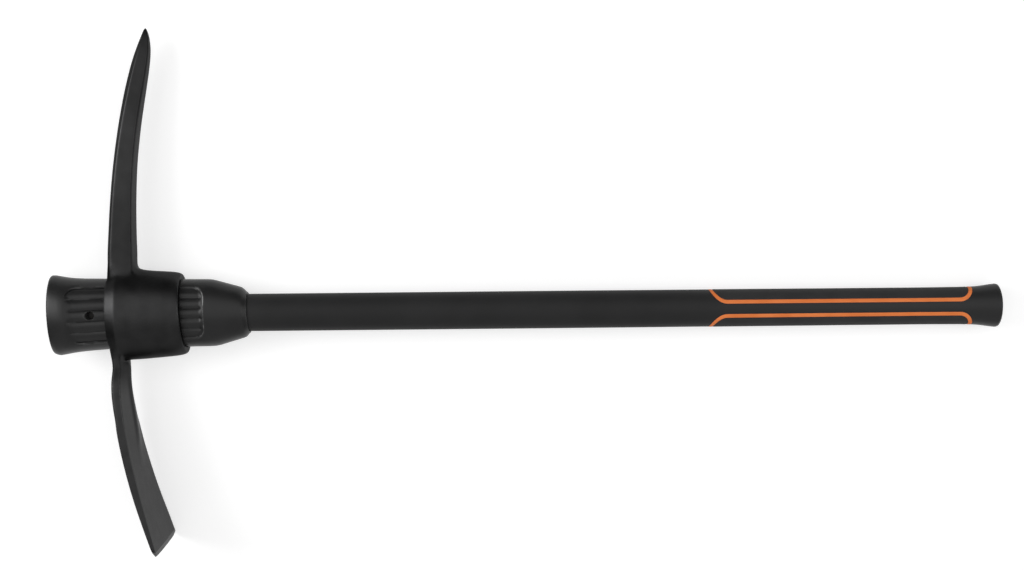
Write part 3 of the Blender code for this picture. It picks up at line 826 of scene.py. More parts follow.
@dataclass
class ForgedHead:
    """Eye, pick and adze, grown from one cage, smoothed and bored."""

    eye_sides: int = 24
    eye_end_lean: float = 0.045
    eye_inner: tuple[float, float] = (0.0290, 0.0190)
    eye_clearance: float = 0.35 * MM
    eye_overrun: float = 4.0 * MM
    bore_sides: int = 96
    cage_swell: float = 1.011
    smooth_levels: int = 3
    rim_crease: float = 0.85
    collar_crease: float = 0.6
    eye_profile: Profile = (
        (-0.0372, 0.0400, 0.0264, 0.5, 0.0009),
        (-0.0275, 0.0436, 0.0300, 0.4, 0.0010),
        (-0.0130, 0.0430, 0.0297, 0.3, 0.0010),
        (0.0120, 0.0413, 0.0291, 0.6, 0.0008),
        (0.0298, 0.0399, 0.0284, 1.0, 0.0003),
        (0.0327, 0.0376, 0.0264, 1.15, 0.0003),
    )
    pick_sections: Profile = (
        (0.0500, -0.0374, 0.0245, 0.0127, 0.0034),
        (0.0640, -0.0363, 0.0232, 0.0121, 0.0033),
        (0.0980, -0.0339, 0.0213, 0.0115, 0.0033),
        (0.1400, -0.0295, 0.0194, 0.0107, 0.0035),
        (0.1800, -0.0230, 0.0185, 0.0100, 0.0039),
        (0.2150, -0.0154, 0.0181, 0.0092, 0.0044),
        (0.2380, -0.0088, 0.0158, 0.0075, 0.0040),
        (0.2520, -0.0037, 0.0119, 0.0054, 0.0030),
        (0.2620, 0.0007, 0.0066, 0.0031, 0.0018),
        (0.2674, 0.0028, 0.0028, 0.0014, 0.0008),
    )
    pick_tip: float = 0.2686
    pick_tip_shrink: float = 0.3
    pick_tip_offset: float = 0.45
    pick_inner_chamfer: float = 0.45
    pick_crease: float = 0.35
    adze_sections: Profile = (
        (-0.0490, -0.0324, 0.0078, 0.0395, 0.0054),
        (-0.0620, -0.0356, 0.0093, 0.0412, 0.0057),
        (-0.0820, -0.0344, 0.0094, 0.0465, 0.0063),
        (-0.1020, -0.0311, 0.0092, 0.0508, 0.0063),
        (-0.1180, -0.0283, 0.0091, 0.0542, 0.0048),
        (-0.1320, -0.0256, 0.0092, 0.0570, 0.0016),
        (-0.1560, -0.0196, 0.0090, 0.0622, 0.0000),
        (-0.1800, -0.0125, 0.0083, 0.0682, 0.0000),
        (-0.2030, -0.0042, 0.0069, 0.0752, 0.0000),
        (-0.2170, 0.0011, 0.0052, 0.0790, 0.0000),
        (-0.2226, 0.0034, 0.0039, 0.0796, 0.0000),
    )
    adze_edge: tuple[float, float, float] = (-0.2282, 0.0053, 0.0006)
    adze_across: tuple[float, ...] = (-0.5, -0.37, -0.19, 0.0, 0.19, 0.37, 0.5)
    adze_rib_shape: tuple[float, ...] = (0.0, 0.14, 0.58, 1.0, 0.58, 0.14, 0.0)
    adze_edge_corner: float = 0.0070
    adze_edge_crown: float = 0.0014
    adze_edge_skew: float = 0.014
    adze_crease: float = 0.8
    adze_root_crease: float = 0.25
    adze_soft_rows: int = 3
    bevel_crease: float = 0.6
    bevel_turn: float = math.radians(12)
    bevel_facing: float = -0.3
    bevel_margin: float = 0.6 * MM
    # Painted sheen on the adze's inner face: where along the adze it starts and is full, and which facing
    # takes it.
    sheen_from: tuple[float, float] = (-0.0520, -0.0800)
    sheen_facing: tuple[float, float] = (0.45, 0.80)
    rib_top: tuple[float, float] = (4.0 * MM, 9.0 * MM)
    # Painted shade: x, y, reach and depth of each darkened patch, at the arms' roots and along the pick.
    shade_spots: Profile = (
        (-0.0390, 0.0400, 0.0145, 1.0),
        (-0.0345, -0.0540, 0.0120, 0.5),
        (-0.0330, 0.0720, 0.0620, 0.24),
        (-0.0040, 0.2330, 0.0700, 0.22),
    )
    shade_spread: float = 1.4
    unevenness: float = 0.09 * MM
    unevenness_size: float = 0.021
    ripple_share: float = 0.35
    ripple_pitch: float = 2.7
    ripple_offset: tuple[float, float, float] = (7.0, 3.0, 1.0)
    sharp_angle: float = 40.0
    worn_angle: float = 22.0

    def pick_ring(
        self, place: float, left: float, width: float, half_depth: float, chamfer: float
    ) -> list[Vector]:
        """Chamfered section of the pick.

        Args:
            place: how far out along the pick.
            left: its left side's x.
            width: its size along X.
            half_depth: half its size along Z.
            chamfer: size of the two left chamfers; the right ones are smaller.

        Returns:
            Twelve points, in the order of the eye's opening.
        """
        mid, right = left + width / 2, left + width
        inner = chamfer * self.pick_inner_chamfer
        flat, inner_flat = half_depth - chamfer, half_depth - inner
        plan = (
            (left + chamfer, -half_depth), (left, -flat), (left, 0), (left, flat),
            (left + chamfer, half_depth), (mid, half_depth), (right - inner, half_depth),
            (right, inner_flat), (right, 0), (right, -inner_flat),
            (right - inner, -half_depth), (mid, -half_depth),
        )
        return [Vector((x, place, z)) for x, z in plan]

    def adze_lean(self, place: float) -> float:
        """Angle of the adze's outer face.

        Args:
            place: how far out along the adze, as a Y.

        Returns:
            The angle from the tool's Y, in radians.
        """
        step = 0.002
        rows = tuple((row[0], row[1]) for row in reversed(self.adze_sections))
        rise = through(rows, place + step)[0] - through(rows, place - step)[0]
        return math.atan2(-rise, 2 * step)

    def adze_ring(
        self, row: Sequence[float], lean: float, setback: float = 0.0, skew: float = 0.0
    ) -> list[Vector]:
        """Section of the adze, square to its outer face.

        Args:
            row: place, outer face, thickness, width and height of the rib.
            lean: angle of the outer face, in radians.
            setback: how far the corners stay behind the middle of the edge.
            skew: how far the edge is out of square, as a share of the width.

        Returns:
            The outer side from -Z to +Z, then the inner side back.
        """
        place, outer, thickness, width, rib = row
        across = Vector((math.cos(lean), -math.sin(lean), 0))
        down = Vector((math.sin(lean), math.cos(lean), 0))
        base = Vector((outer, place, 0))
        front, back = [], []
        for share, lift in zip(self.adze_across, self.adze_rib_shape):
            slip = down * (setback * (2 * abs(share)) ** 4 - skew * width * share)
            point = base + slip + Vector((0, 0, width * share))
            front.append(point)
            back.append(point + across * (thickness + rib * lift))
        return front + back[::-1]

    def eye_point(self, point: Vector, lean: float, drop: float) -> Vector:
        """Point of the eye's section, dropped towards the adze and leaned with its top to the left."""
        y = point.y - drop
        return Vector((point.x - lean * self.eye_end_lean * y, y, point.z))

    def add_eye(self, bm: bmesh.types.BMesh) -> list[list]:
        """Add the solid drum of the eye, open where the arms grow out of it.

        Args:
            bm: the cage.

        Returns:
            The drum's rings of vertices, from left to right.
        """
        rings = []
        sides = self.eye_sides
        for x, height, depth, lean, drop in self.eye_profile:
            outline = oval(x, height * self.cage_swell, depth * self.cage_swell, sides)
            rings.append([bm.verts.new(self.eye_point(p, lean, drop)) for p in outline])
        half = sides // 2
        open_faces = {(column, i % sides) for column in (0, 1) for i in range(-2, 2)}
        open_faces |= {(0, i) for i in range(half - 3, half + 3)}
        for column, (left, right) in enumerate(zip(rings, rings[1:])):
            for i in range(sides):
                if (column, i) not in open_faces:
                    j = (i + 1) % sides
                    bm.faces.new((left[i], left[j], right[j], right[i]))
        for i in (-1, 0, 1):
            bm.verts.remove(rings[1][i])
        for end in (0, -1):
            x, _, _, lean, drop = self.eye_profile[end]
            inner = [bm.verts.new(self.eye_point(p, lean, drop)) for p in oval(x, *self.eye_inner, sides)]
            bridge(bm, rings[end], inner)
            bm.faces.new(inner)
        between_arms = [*range(2, half - 3), *range(half + 3, sides - 2)]
        crease(bm, sides_of(rings[0], between_arms), self.rim_crease)
        crease(bm, sides_of(rings[1], between_arms), self.collar_crease)
        crease(bm, sides_of(rings[-1], range(sides)), self.rim_crease)
        return rings

    def add_pick(self, bm: bmesh.types.BMesh, rings: list[list]) -> None:
        """Add the pick, grown from its opening on the eye to a point.

        Args:
            bm: the cage.
            rings: the eye's rings.
        """
        opening = [rings[0][i] for i in (-2, -1, 0, 1, 2)] + [rings[1][2]]
        opening += [rings[2][i] for i in (2, 1, 0, -1, -2)] + [rings[1][-2]]
        last = opening
        corners = [0, 1, 3, 4, 6, 7, 9, 10]
        for section in self.pick_sections:
            ring = [bm.verts.new(p) for p in self.pick_ring(*section)]
            bridge(bm, last, ring)
            if last is not opening:
                crease(bm, [(last[i], ring[i]) for i in corners], self.pick_crease)
            last = ring
        _, left, *sizes = self.pick_sections[-1]
        tip_left = left + sizes[0] * self.pick_tip_offset
        point = self.pick_ring(self.pick_tip, tip_left, *(size * self.pick_tip_shrink for size in sizes))
        tip = [bm.verts.new(p) for p in point]
        bridge(bm, last, tip)
        bm.faces.new(tip)

    def add_adze(self, bm: bmesh.types.BMesh, rings: list[list]) -> None:
        """Add the adze, grown from its opening on the eye to a ground edge with round corners.

        Args:
            bm: the cage.
            rings: the eye's rings.
        """
        half = self.eye_sides // 2
        opening = [rings[0][i] for i in range(half + 3, half - 4, -1)]
        opening += [rings[1][i] for i in range(half - 3, half + 4)]
        last = opening
        count = len(self.adze_across)
        corners = [0, count - 1, count, 2 * count - 1]
        for place, row in enumerate(self.adze_sections):
            skew = self.adze_edge_skew if row is self.adze_sections[-1] else 0.0
            sharpness = self.adze_root_crease if place <= self.adze_soft_rows else self.adze_crease
            ring = [bm.verts.new(p) for p in self.adze_ring(row, self.adze_lean(row[0]), skew=skew)]
            bridge(bm, last, ring)
            if last is not opening:
                crease(bm, [(last[i], ring[i]) for i in corners], sharpness)
            last = ring
        width = self.adze_sections[-1][3] - self.adze_edge_corner
        edge_row = (*self.adze_edge, width, 0.0)
        lean = self.adze_lean(self.adze_sections[-1][0])
        points = self.adze_ring(edge_row, lean, self.adze_edge_crown, self.adze_edge_skew)
        ring = [bm.verts.new(p) for p in points]
        bridge(bm, last, ring)
        crease(bm, [(last[i], ring[i]) for i in corners], self.adze_crease)
        crease(bm, sides_of(last, range(count, 2 * count - 1)), self.bevel_crease)
        crease(bm, sides_of(ring, range(2 * count)), 1.0)
        for i in range(count - 1):
            bm.faces.new((ring[i], ring[i + 1], ring[2 * count - 2 - i], ring[2 * count - 1 - i]))

    def roughen(self, obj: bpy.types.Object) -> None:
        """Move the forged skin in and out a little, as hammer and die leave it; the edge stays true.

        Args:
            obj: the head.
        """
        fade_start, fade_end = self.adze_sections[-2][0], self.adze_sections[-1][0]
        normals = [vertex.normal.copy() for vertex in obj.data.vertices]
        for vertex, normal in zip(obj.data.vertices, normals):
            wave = noise.noise(vertex.co / self.unevenness_size)
            finer = vertex.co / self.unevenness_size * self.ripple_pitch + Vector(self.ripple_offset)
            uneven = wave + self.ripple_share * noise.noise(finer)
            true = smooth_step((vertex.co.y - fade_end) / (fade_start - fade_end))
            vertex.co += normal * self.unevenness * uneven * true

    def mark_ground(self, obj: bpy.types.Object) -> None:
        """Store which faces belong to the ground bevel at the adze's edge, as the attribute ground.

        Args:
            obj: the head.
        """
        start = self.adze_sections[-1][0]
        lean = self.adze_lean(start)
        inner_face = Vector((math.cos(lean), -math.sin(lean), 0))
        layer = obj.data.attributes.new("ground", "FLOAT", "CORNER")
        for polygon in obj.data.polygons:
            bevel_start = start - self.adze_edge_skew * polygon.center.z + self.bevel_margin
            turned = polygon.normal.angle(inner_face) > self.bevel_turn
            facing = polygon.normal.dot(inner_face) > self.bevel_facing
            if polygon.center.y < bevel_start and turned and facing:
                for corner in polygon.loop_indices:
                    layer.data[corner].value = 1.0

    def painted_sheen(self, vertex: bpy.types.MeshVertex) -> float:
        """Painted sheen: how far the lacquer is lightened, as a painted reflection, on the adze's inner face
        beside its rib.

        Args:
            vertex: a vertex of the head.

        Returns:
            A share between 0 and 1.
        """
        start, full = self.sheen_from
        top, foot = self.rib_top
        away, toward = self.sheen_facing
        ribs = tuple((row[0], row[4]) for row in reversed(self.adze_sections))
        highest = max(row[1] for row in ribs)
        inner_face = smooth_step((vertex.normal.x - away) / (toward - away))
        along = smooth_step((start - vertex.co.y) / (start - full))
        on_rib = smooth_step((foot - abs(vertex.co.z)) / (foot - top))
        return inner_face * along * (1 - on_rib * between(ribs, vertex.co.y)[0] / highest)

    def painted_shade(self, vertex: bpy.types.MeshVertex) -> float:
        """Painted shade: how far the lacquer is darkened to stand for shade, most in the roots of both arms
        and along the pick.

        Args:
            vertex: a vertex of the head.

        Returns:
            A share between 0 and 1.
        """
        shares = []
        for x, y, reach, depth in self.shade_spots:
            away = math.hypot(vertex.co.x - x, vertex.co.y - y) / reach
            shares.append(depth * smooth_step(self.shade_spread * (1 - away)))
        return max(shares)

    def bore_cutter(self) -> bpy.types.Object:
        """Tapered oval bore, a little wider than the sleeve.

        Returns:
            The solid to cut out of the eye.
        """
        left, right = self.eye_profile[0][0], self.eye_profile[-1][0]
        rings = []
        for x in (left - self.eye_overrun, right + self.eye_overrun):
            height, depth = between(HeadSleeve.profile, x)[:2]
            rings.append(oval(x, height + self.eye_clearance, depth + self.eye_clearance, self.bore_sides))
        bm = bmesh.new()
        loft(bm, rings)
        return bmesh_object("eye_bore", bm)

    def build(self) -> bpy.types.Object:
        """Build the head's mesh.

        Returns:
            The head, in the tool's frame.
        """
        bm = bmesh.new()
        bm.edges.layers.float.new("crease_edge")
        rings = self.add_eye(bm)
        self.add_pick(bm, rings)
        self.add_adze(bm, rings)
        head = bmesh_object("forged_head", bm)
        forged = head.modifiers.new("forged_form", "SUBSURF")
        forged.levels = self.smooth_levels
        forged.render_levels = self.smooth_levels
        carve(head, [])
        self.roughen(head)
        carve(head, [self.bore_cutter()])
        shade(head, self.sharp_angle)
        mark_edges(head, self.worn_angle)
        self.mark_ground(head)
        # Painted sheen on the adze's inner face.
        mark_points(head, "painted_sheen", self.painted_sheen)
        # Painted shade in the arms' roots and along the pick.
        mark_points(head, "painted_shade", self.painted_shade)
        return head

    def dress(self, effects: Effects) -> list[Piece]:
        """Build the head and lacquer it.

        Args:
            effects: the shared node groups.

        Returns:
            The head alone.
        """
        return [Piece(self.build(), Body.HEAD, "pick_head", "forged_steel", ForgedFinish().make(effects))]


@dataclass
class HeadSleeve:
    """Moulded sleeve: flared at the head end, bell-shaped towards the grip, fluted on both sides."""

    profile: Profile = (
        (-0.0922, 0.0366, 0.0229, 0.5, 0.0008),
        (-0.0916, 0.0376, 0.0235, 0.7, 0.0008),
        (-0.0902, 0.0382, 0.0238, 1.0, 0.0008),
        (-0.0875, 0.0384, 0.0243, 1.0, 0.0009),
        (-0.0815, 0.0373, 0.0253, 1.0, 0.0009),
        (-0.0770, 0.0365, 0.0258, 1.0, 0.0009),
        (-0.0745, 0.0361, 0.0253, 1.0, 0.0009),
        (-0.0690, 0.0354, 0.0241, 1.0, 0.0008),
        (-0.0600, 0.0347, 0.0234, 1.0, 0.0006),
        (-0.0400, 0.0338, 0.0229, 1.0, 0.0000),
        (0.0420, 0.0323, 0.0220, 0.2, -0.0002),
        (0.0560, 0.0322, 0.0220, 0.2, -0.0002),
        (0.0612, 0.0319, 0.0218, 0.8, -0.0002),
        (0.0652, 0.0310, 0.0214, 1.0, -0.0002),
        (0.0884, 0.0243, 0.0187, 1.0, -0.0003),
        (0.0900, 0.0234, 0.0182, 1.0, 0.0000),
        (0.0912, 0.0222, 0.0174, 1.0, 0.0000),
        (0.0926, 0.0204, 0.0166, 1.0, 0.0000),
        (0.0940, 0.0193, 0.0163, 1.0, 0.0000),
    )
    lean: float = 0.05
    corner_ease: float = 1.3 * MM
    row_step: float = 3.0 * MM
    row_least: float = 0.1 * MM
    row_clearance: float = 0.8 * MM
    pocket_start: float = -0.0750
    pocket_end: float = 0.0540
    pocket_half_height_at_start: float = 0.0262
    pocket_half_height_at_end: float = 0.0240
    pocket_rise: tuple[float, float] = (0.7 * MM, 1.7 * MM)
    pocket_depth: float = 2.6 * MM
    pocket_corner: float = 10.0 * MM
    pocket_margin: float = 1.0 * MM
    pocket_blend: float = 4.0 * MM
    wall_start: float = -0.45 * MM
    wall_width: float = 1.4 * MM
    wall_steps: int = 8
    head_end_wall: float = 8.0 * MM
    head_end_steps: int = 12
    grip_end_wall: float = 5.0 * MM
    grip_end_steps: int = 10
    sharp_corner: float = math.radians(62)
    # Painted highlight on the recess's grip-end rim: middle and half width of its band, and how fast it
    # spreads round the end and to the pick side.
    rim_highlight_band: tuple[float, float] = (-0.35 * MM, 0.75 * MM)
    rim_highlight_spread: float = 1.5
    flutes: int = 5
    flute_height: float = 1.7 * MM
    flute_fullness: float = 0.6
    flute_fade: float = 1.6 * MM
    flute_steps: int = 10
    flank_steps: int = 9
    flute_margin: float = 1.2 * MM
    rim_lines: tuple[float, ...] = (-2.2 * MM, -4.0 * MM, -6.0 * MM)
    hole_x: float = -0.0520
    hole_diameter: float = 8.5 * MM
    hole_chamfer: float = 0.7 * MM
    hole_mouth: tuple[float, float] = (-0.6 * MM, 0.2 * MM)
    hole_ends: tuple[float, float] = (0.006, 0.030)
    hole_sides: int = 40
    core_half: tuple[float, float] = (0.0133, 0.0108)
    core_start: float = -0.0853
    socket_start: float = 0.0640
    socket_half: tuple[float, float] = (0.0182, 0.0153)
    widest_column: float = 0.91
    sharp_angle: float = 38.0
    worn_angle: float = 360.0

    def along_pocket(self, x: float) -> float:
        """Share of the way from the recess's head end to its grip end."""
        return (x - self.pocket_start) / (self.pocket_end - self.pocket_start)

    def pocket_half_height(self, x: float) -> float:
        """Half height of the fluted recess, which narrows towards the grip."""
        start, end = self.pocket_half_height_at_start, self.pocket_half_height_at_end
        return start + self.along_pocket(x) * (end - start)

    def pocket_middle(self, x: float) -> float:
        """How far the recess's middle lies towards the pick."""
        return self.pocket_rise[0] + self.along_pocket(x) * (self.pocket_rise[1] - self.pocket_rise[0])

    def corner_frame(self, x: float, y: float) -> tuple[float, float, float, float]:
        """Place of a point from the centre of the nearest pocket corner.

        Args:
            x: place along the handle.
            y: place across it, from the recess's middle.

        Returns:
            Direction of that end (1 or -1), the centre's x, and how far the point is beyond the
            centre along the handle and across it.
        """
        middle = (self.pocket_start + self.pocket_end) / 2
        end = 1.0 if x > middle else -1.0
        edge = self.pocket_end if end > 0 else self.pocket_start
        centre = edge - end * self.pocket_corner
        beyond = end * (x - centre)
        above = abs(y) - (self.pocket_half_height(x) - self.pocket_corner)
        return end, centre, beyond, above

    def round_corner(self, x: float, y: float) -> tuple[float, float]:
        """Bend the grid so that its lines follow the pocket's round corners, fading out beyond them.

        Args:
            x: place along the handle.
            y: place across it, from the recess's middle.

        Returns:
            The point's new x and y.
        """
        end, centre, beyond, above = self.corner_frame(x, y)
        if beyond <= 0 or above <= 0:
            return x, y
        radius = max(beyond, above)
        if beyond >= above:
            angle = math.pi / 4 * above / beyond
        else:
            angle = math.pi / 2 - math.pi / 4 * beyond / above
        back = smooth_step((radius - self.pocket_corner - self.pocket_margin) / self.pocket_blend)
        new_beyond = (1 - back) * radius * math.cos(angle) + back * beyond
        new_above = (1 - back) * radius * math.sin(angle) + back * above
        new_y = self.pocket_half_height(x) - self.pocket_corner + new_above
        return centre + end * new_beyond, math.copysign(new_y, y)

    def inset(self, x: float, y: float) -> float:
        """How far a point lies inside the pocket's outline.

        Args:
            x: place along the handle.
            y: place across it, from the recess's middle.

        Returns:
            The distance, negative outside the outline.
        """
        _, _, beyond, above = self.corner_frame(x, y)
        if beyond > 0 and above > 0:
            return self.pocket_corner - math.hypot(beyond, above)
        return self.pocket_corner - max(beyond, above)

    def wall_reach(self, x: float, y: float) -> float:
        """Width of the recess's wall: narrow along its sides and drawn out at its ends.

        Args:
            x: place along the handle.
            y: place across it, from the recess's middle.

        Returns:
            The width over which the wall goes down.
        """
        end, _, beyond, above = self.corner_frame(x, y)
        if beyond <= 0:
            return self.wall_width
        sharp = self.sharp_corner if end < 0 < y else 0.0
        toward_end = smooth_step((math.atan2(beyond, max(above, 0.0)) - sharp) / (math.pi / 2 - sharp))
        end_wall = self.grip_end_wall if end > 0 else self.head_end_wall
        return self.wall_width + toward_end * (end_wall - self.wall_width)

    def sink(self, x: float, y: float) -> float:
        """How far the fluted recess lies below the sleeve's skin.

        Args:
            x: place along the handle.
            y: place across it, from the recess's middle.

        Returns:
            The depth.
        """
        inset = self.inset(x, y)
        wall = smooth_step((inset - self.wall_start) / self.wall_reach(x, y))
        share = min(max(y / self.pocket_half_height(x), -1.0), 1.0)
        wave = abs(math.sin(math.pi * self.flutes * (share + 1) / 2))
        rib = self.flute_height * wave ** self.flute_fullness * smooth_step(inset / self.flute_fade)
        return wall * (self.pocket_depth - rib)

    def rows(self) -> list[float]:
        """Places of the grid's rows along the handle, closest together over the recess's end walls.

        Returns:
            The places, in rising order.
        """
        first, last = self.pocket_start + self.wall_start, self.pocket_end - self.wall_start
        places = [row[0] for row in self.profile]
        steps = self.head_end_steps
        places += [first + self.head_end_wall * i / steps for i in range(-1, steps + 2)]
        steps = self.grip_end_steps
        places += [last - self.grip_end_wall * i / steps for i in range(-1, steps + 2)]
        kept = spaced(places, self.row_least)
        coarse = np.arange(self.profile[0][0], self.profile[-1][0], self.row_step)
        clear = [x for x in coarse if min(abs(x - p) for p in kept) > self.row_clearance]
        return spaced([*kept, *clear], self.row_least)

    def columns(self) -> list[tuple[float, float]]:
        """Columns across the pocket, closest together at the ridges and over the walls.

        Returns:
            Each column as a share of the pocket's half height and an offset from that.
        """
        middle = self.pocket_half_height(0.0)
        steps = self.flute_steps
        widest = middle - self.wall_start - self.wall_width - self.flute_margin
        found: list[tuple[float, float]] = []
        for i in range(self.flutes * steps):
            flute, step = divmod(i, steps)
            share = 2 * (flute + (1 - math.cos(math.pi * step / steps)) / 2) / self.flutes - 1
            if abs(share) * middle < widest:
                found.append((share, 0.0))
        count = self.wall_steps
        walls = [self.wall_start + self.wall_width * i / count for i in range(-1, count + 3)]
        for sign in (-1.0, 1.0):
            found += [(sign, -sign * wall) for wall in [*walls, *self.rim_lines]]
        return sorted(found, key=lambda column: column[0] * middle + column[1])

    def half_section(self, x: float, columns: Sequence[tuple[float, float]]) -> list[Vector]:
        """Points of one row on the near side.

        Args:
            x: the row's place.
            columns: the columns across the pocket.

        Returns:
            The points from +Y over the fluted side to -Y, both ends left out.
        """
        height = eased(self.profile, x, self.corner_ease)[0]
        pocket, middle = self.pocket_half_height(x), self.pocket_middle(x)
        places = [share * pocket + offset for share, offset in reversed(columns)]
        shrink = min(1.0, (self.widest_column * height - middle) / places[0])
        places = [place * shrink for place in places]
        top = math.acos((places[0] + middle) / height)
        bottom = math.acos(-(places[-1] + middle) / height)
        steps = self.flank_steps
        flank = [height * math.cos(top * i / steps) - middle for i in range(1, steps)]
        foot = [-height * math.cos(bottom * i / steps) - middle for i in range(steps - 1, 0, -1)]
        points = []
        for y in [*flank, *places, *foot]:
            new_x, new_y = self.round_corner(x, y)
            new_x = min(max(new_x, self.profile[0][0]), self.profile[-1][0])
            half_height, half_depth = eased(self.profile, new_x, self.corner_ease)[:2]
            across = new_y + self.pocket_middle(new_x)
            skin = half_depth * math.sqrt(max(0.0, 1 - (across / half_height) ** 2))
            points.append(Vector((new_x, across, skin - self.sink(new_x, new_y))))
        return points

    def settled(self, point: Vector) -> Vector:
        """Lean a point of the skin with its top to the head end, and drop it towards the adze."""
        _, _, share, drop = between(self.profile, point.x)
        return Vector((point.x - share * self.lean * point.y, point.y - drop, point.z))

    def ring(self, x: float, columns: Sequence[tuple[float, float]]) -> list[Vector]:
        """Whole row round the sleeve.

        Args:
            x: the row's place.
            columns: the columns across the pocket.

        Returns:
            The ring's points, from +Y round to +Z.
        """
        height = eased(self.profile, x, self.corner_ease)[0]
        near = self.half_section(x, columns)
        far = [Vector((p.x, p.y, -p.z)) for p in reversed(near)]
        whole = [Vector((x, height, 0)), *near, Vector((x, -height, 0)), *far]
        return [self.settled(point) for point in whole]

    def inner_ring(self, x: float, half: tuple[float, float], outer: Sequence[Vector]) -> list[Vector]:
        """Oval ring inside, with its points at the same angles as an outer ring's.

        Args:
            x: the ring's place.
            half: half its size along Y and along Z.
            outer: the outer ring's points.

        Returns:
            The ring's points.
        """
        points = []
        for p in outer:
            angle = math.atan2(p.z / half[1], p.y / half[0])
            points.append(Vector((x, half[0] * math.cos(angle), half[1] * math.sin(angle))))
        return points

    def hole_cutter(self, side: Side) -> bpy.types.Object:
        """Locating hole with a small chamfer at its mouth.

        Args:
            side: the side that it goes in from.

        Returns:
            The solid to cut out of the sleeve, from inside the core's bore to outside the skin.
        """
        radius = self.hole_diameter / 2
        wide = radius + self.hole_chamfer
        floor = self.pocket_depth - self.flute_height
        mouth = between(self.profile, self.hole_x)[1] - floor
        (inner, outer), (below, above) = self.hole_ends, self.hole_mouth
        levels = ((inner, radius), (mouth + below, radius), (mouth + above, wide), (outer, wide))
        centre = Vector((self.hole_x, self.pocket_middle(self.hole_x), 0))
        turns = [2 * math.pi * i / self.hole_sides for i in range(self.hole_sides)]
        rings = []
        for z, reach in levels:
            level = centre + Vector((0, 0, side.value * z))
            rings.append([level + reach * Vector((math.cos(a), math.sin(a), 0)) for a in turns])
        bm = bmesh.new()
        loft(bm, rings)
        return bmesh_object(f"locating_hole_{side.name.lower()}", bm)

    def mark_painted_rim_highlight(self, obj: bpy.types.Object) -> None:
        """Paint a highlight into the edge attribute along the recess's rim at the grip end, strongest towards
        the pick side.

        Args:
            obj: the sleeve.
        """
        middle, half_width = self.rim_highlight_band
        layer = obj.data.attributes["edge"]
        for vertex in obj.data.vertices:
            x, y = vertex.co.x, vertex.co.y
            _, _, share, drop = between(self.profile, x)
            y += drop
            x += share * self.lean * y
            y -= self.pocket_middle(x)
            end, _, beyond, _ = self.corner_frame(x, y)
            if end < 0 or beyond <= 0 or abs(vertex.co.z) < self.core_half[1]:
                continue
            # painted highlight: close to the rim, round the end, and stronger on the pick side
            near = smooth_step(1 - abs(self.inset(x, y) - middle) / half_width)
            upper = smooth_step(self.rim_highlight_spread * y / self.pocket_half_height(x))
            around = smooth_step(self.rim_highlight_spread * beyond / self.pocket_corner)
            value = layer.data[vertex.index]
            value.value = max(value.value, near * around * (1 + upper) / 2)

    def build(self) -> bpy.types.Object:
        """Build the sleeve's mesh.

        Returns:
            The sleeve, in the tool's frame.
        """
        columns = self.columns()
        rings = [self.ring(x, columns) for x in self.rows()]
        mouth, mid = self.profile[-1][0], self.socket_start
        rings.append([self.settled(p) for p in self.inner_ring(mouth, self.socket_half, rings[-1])])
        rings.append(self.inner_ring(mid, self.socket_half, rings[-1]))
        rings.append(self.inner_ring(mid, self.core_half, rings[-1]))
        rings.append(self.inner_ring(self.core_start, self.core_half, rings[-1]))
        bm = bmesh.new()
        loft(bm, rings)
        sleeve = bmesh_object("fluted_sleeve", bm)
        carve(sleeve, [self.hole_cutter(side) for side in Side])
        shade(sleeve, self.sharp_angle)
        mark_edges(sleeve, self.worn_angle)
        # Painted highlight on the recess's rim at the grip end.
        self.mark_painted_rim_highlight(sleeve)
        return sleeve

    def dress(self, effects: Effects) -> list[Piece]:
        """Build the sleeve and give it its nylon.

        Args:
            effects: the shared node groups.

        Returns:
            The sleeve alone.
        """
        return [Piece(self.build(), Body.HANDLE, "head_sleeve", "moulded_nylon", NYLON.make(effects))]


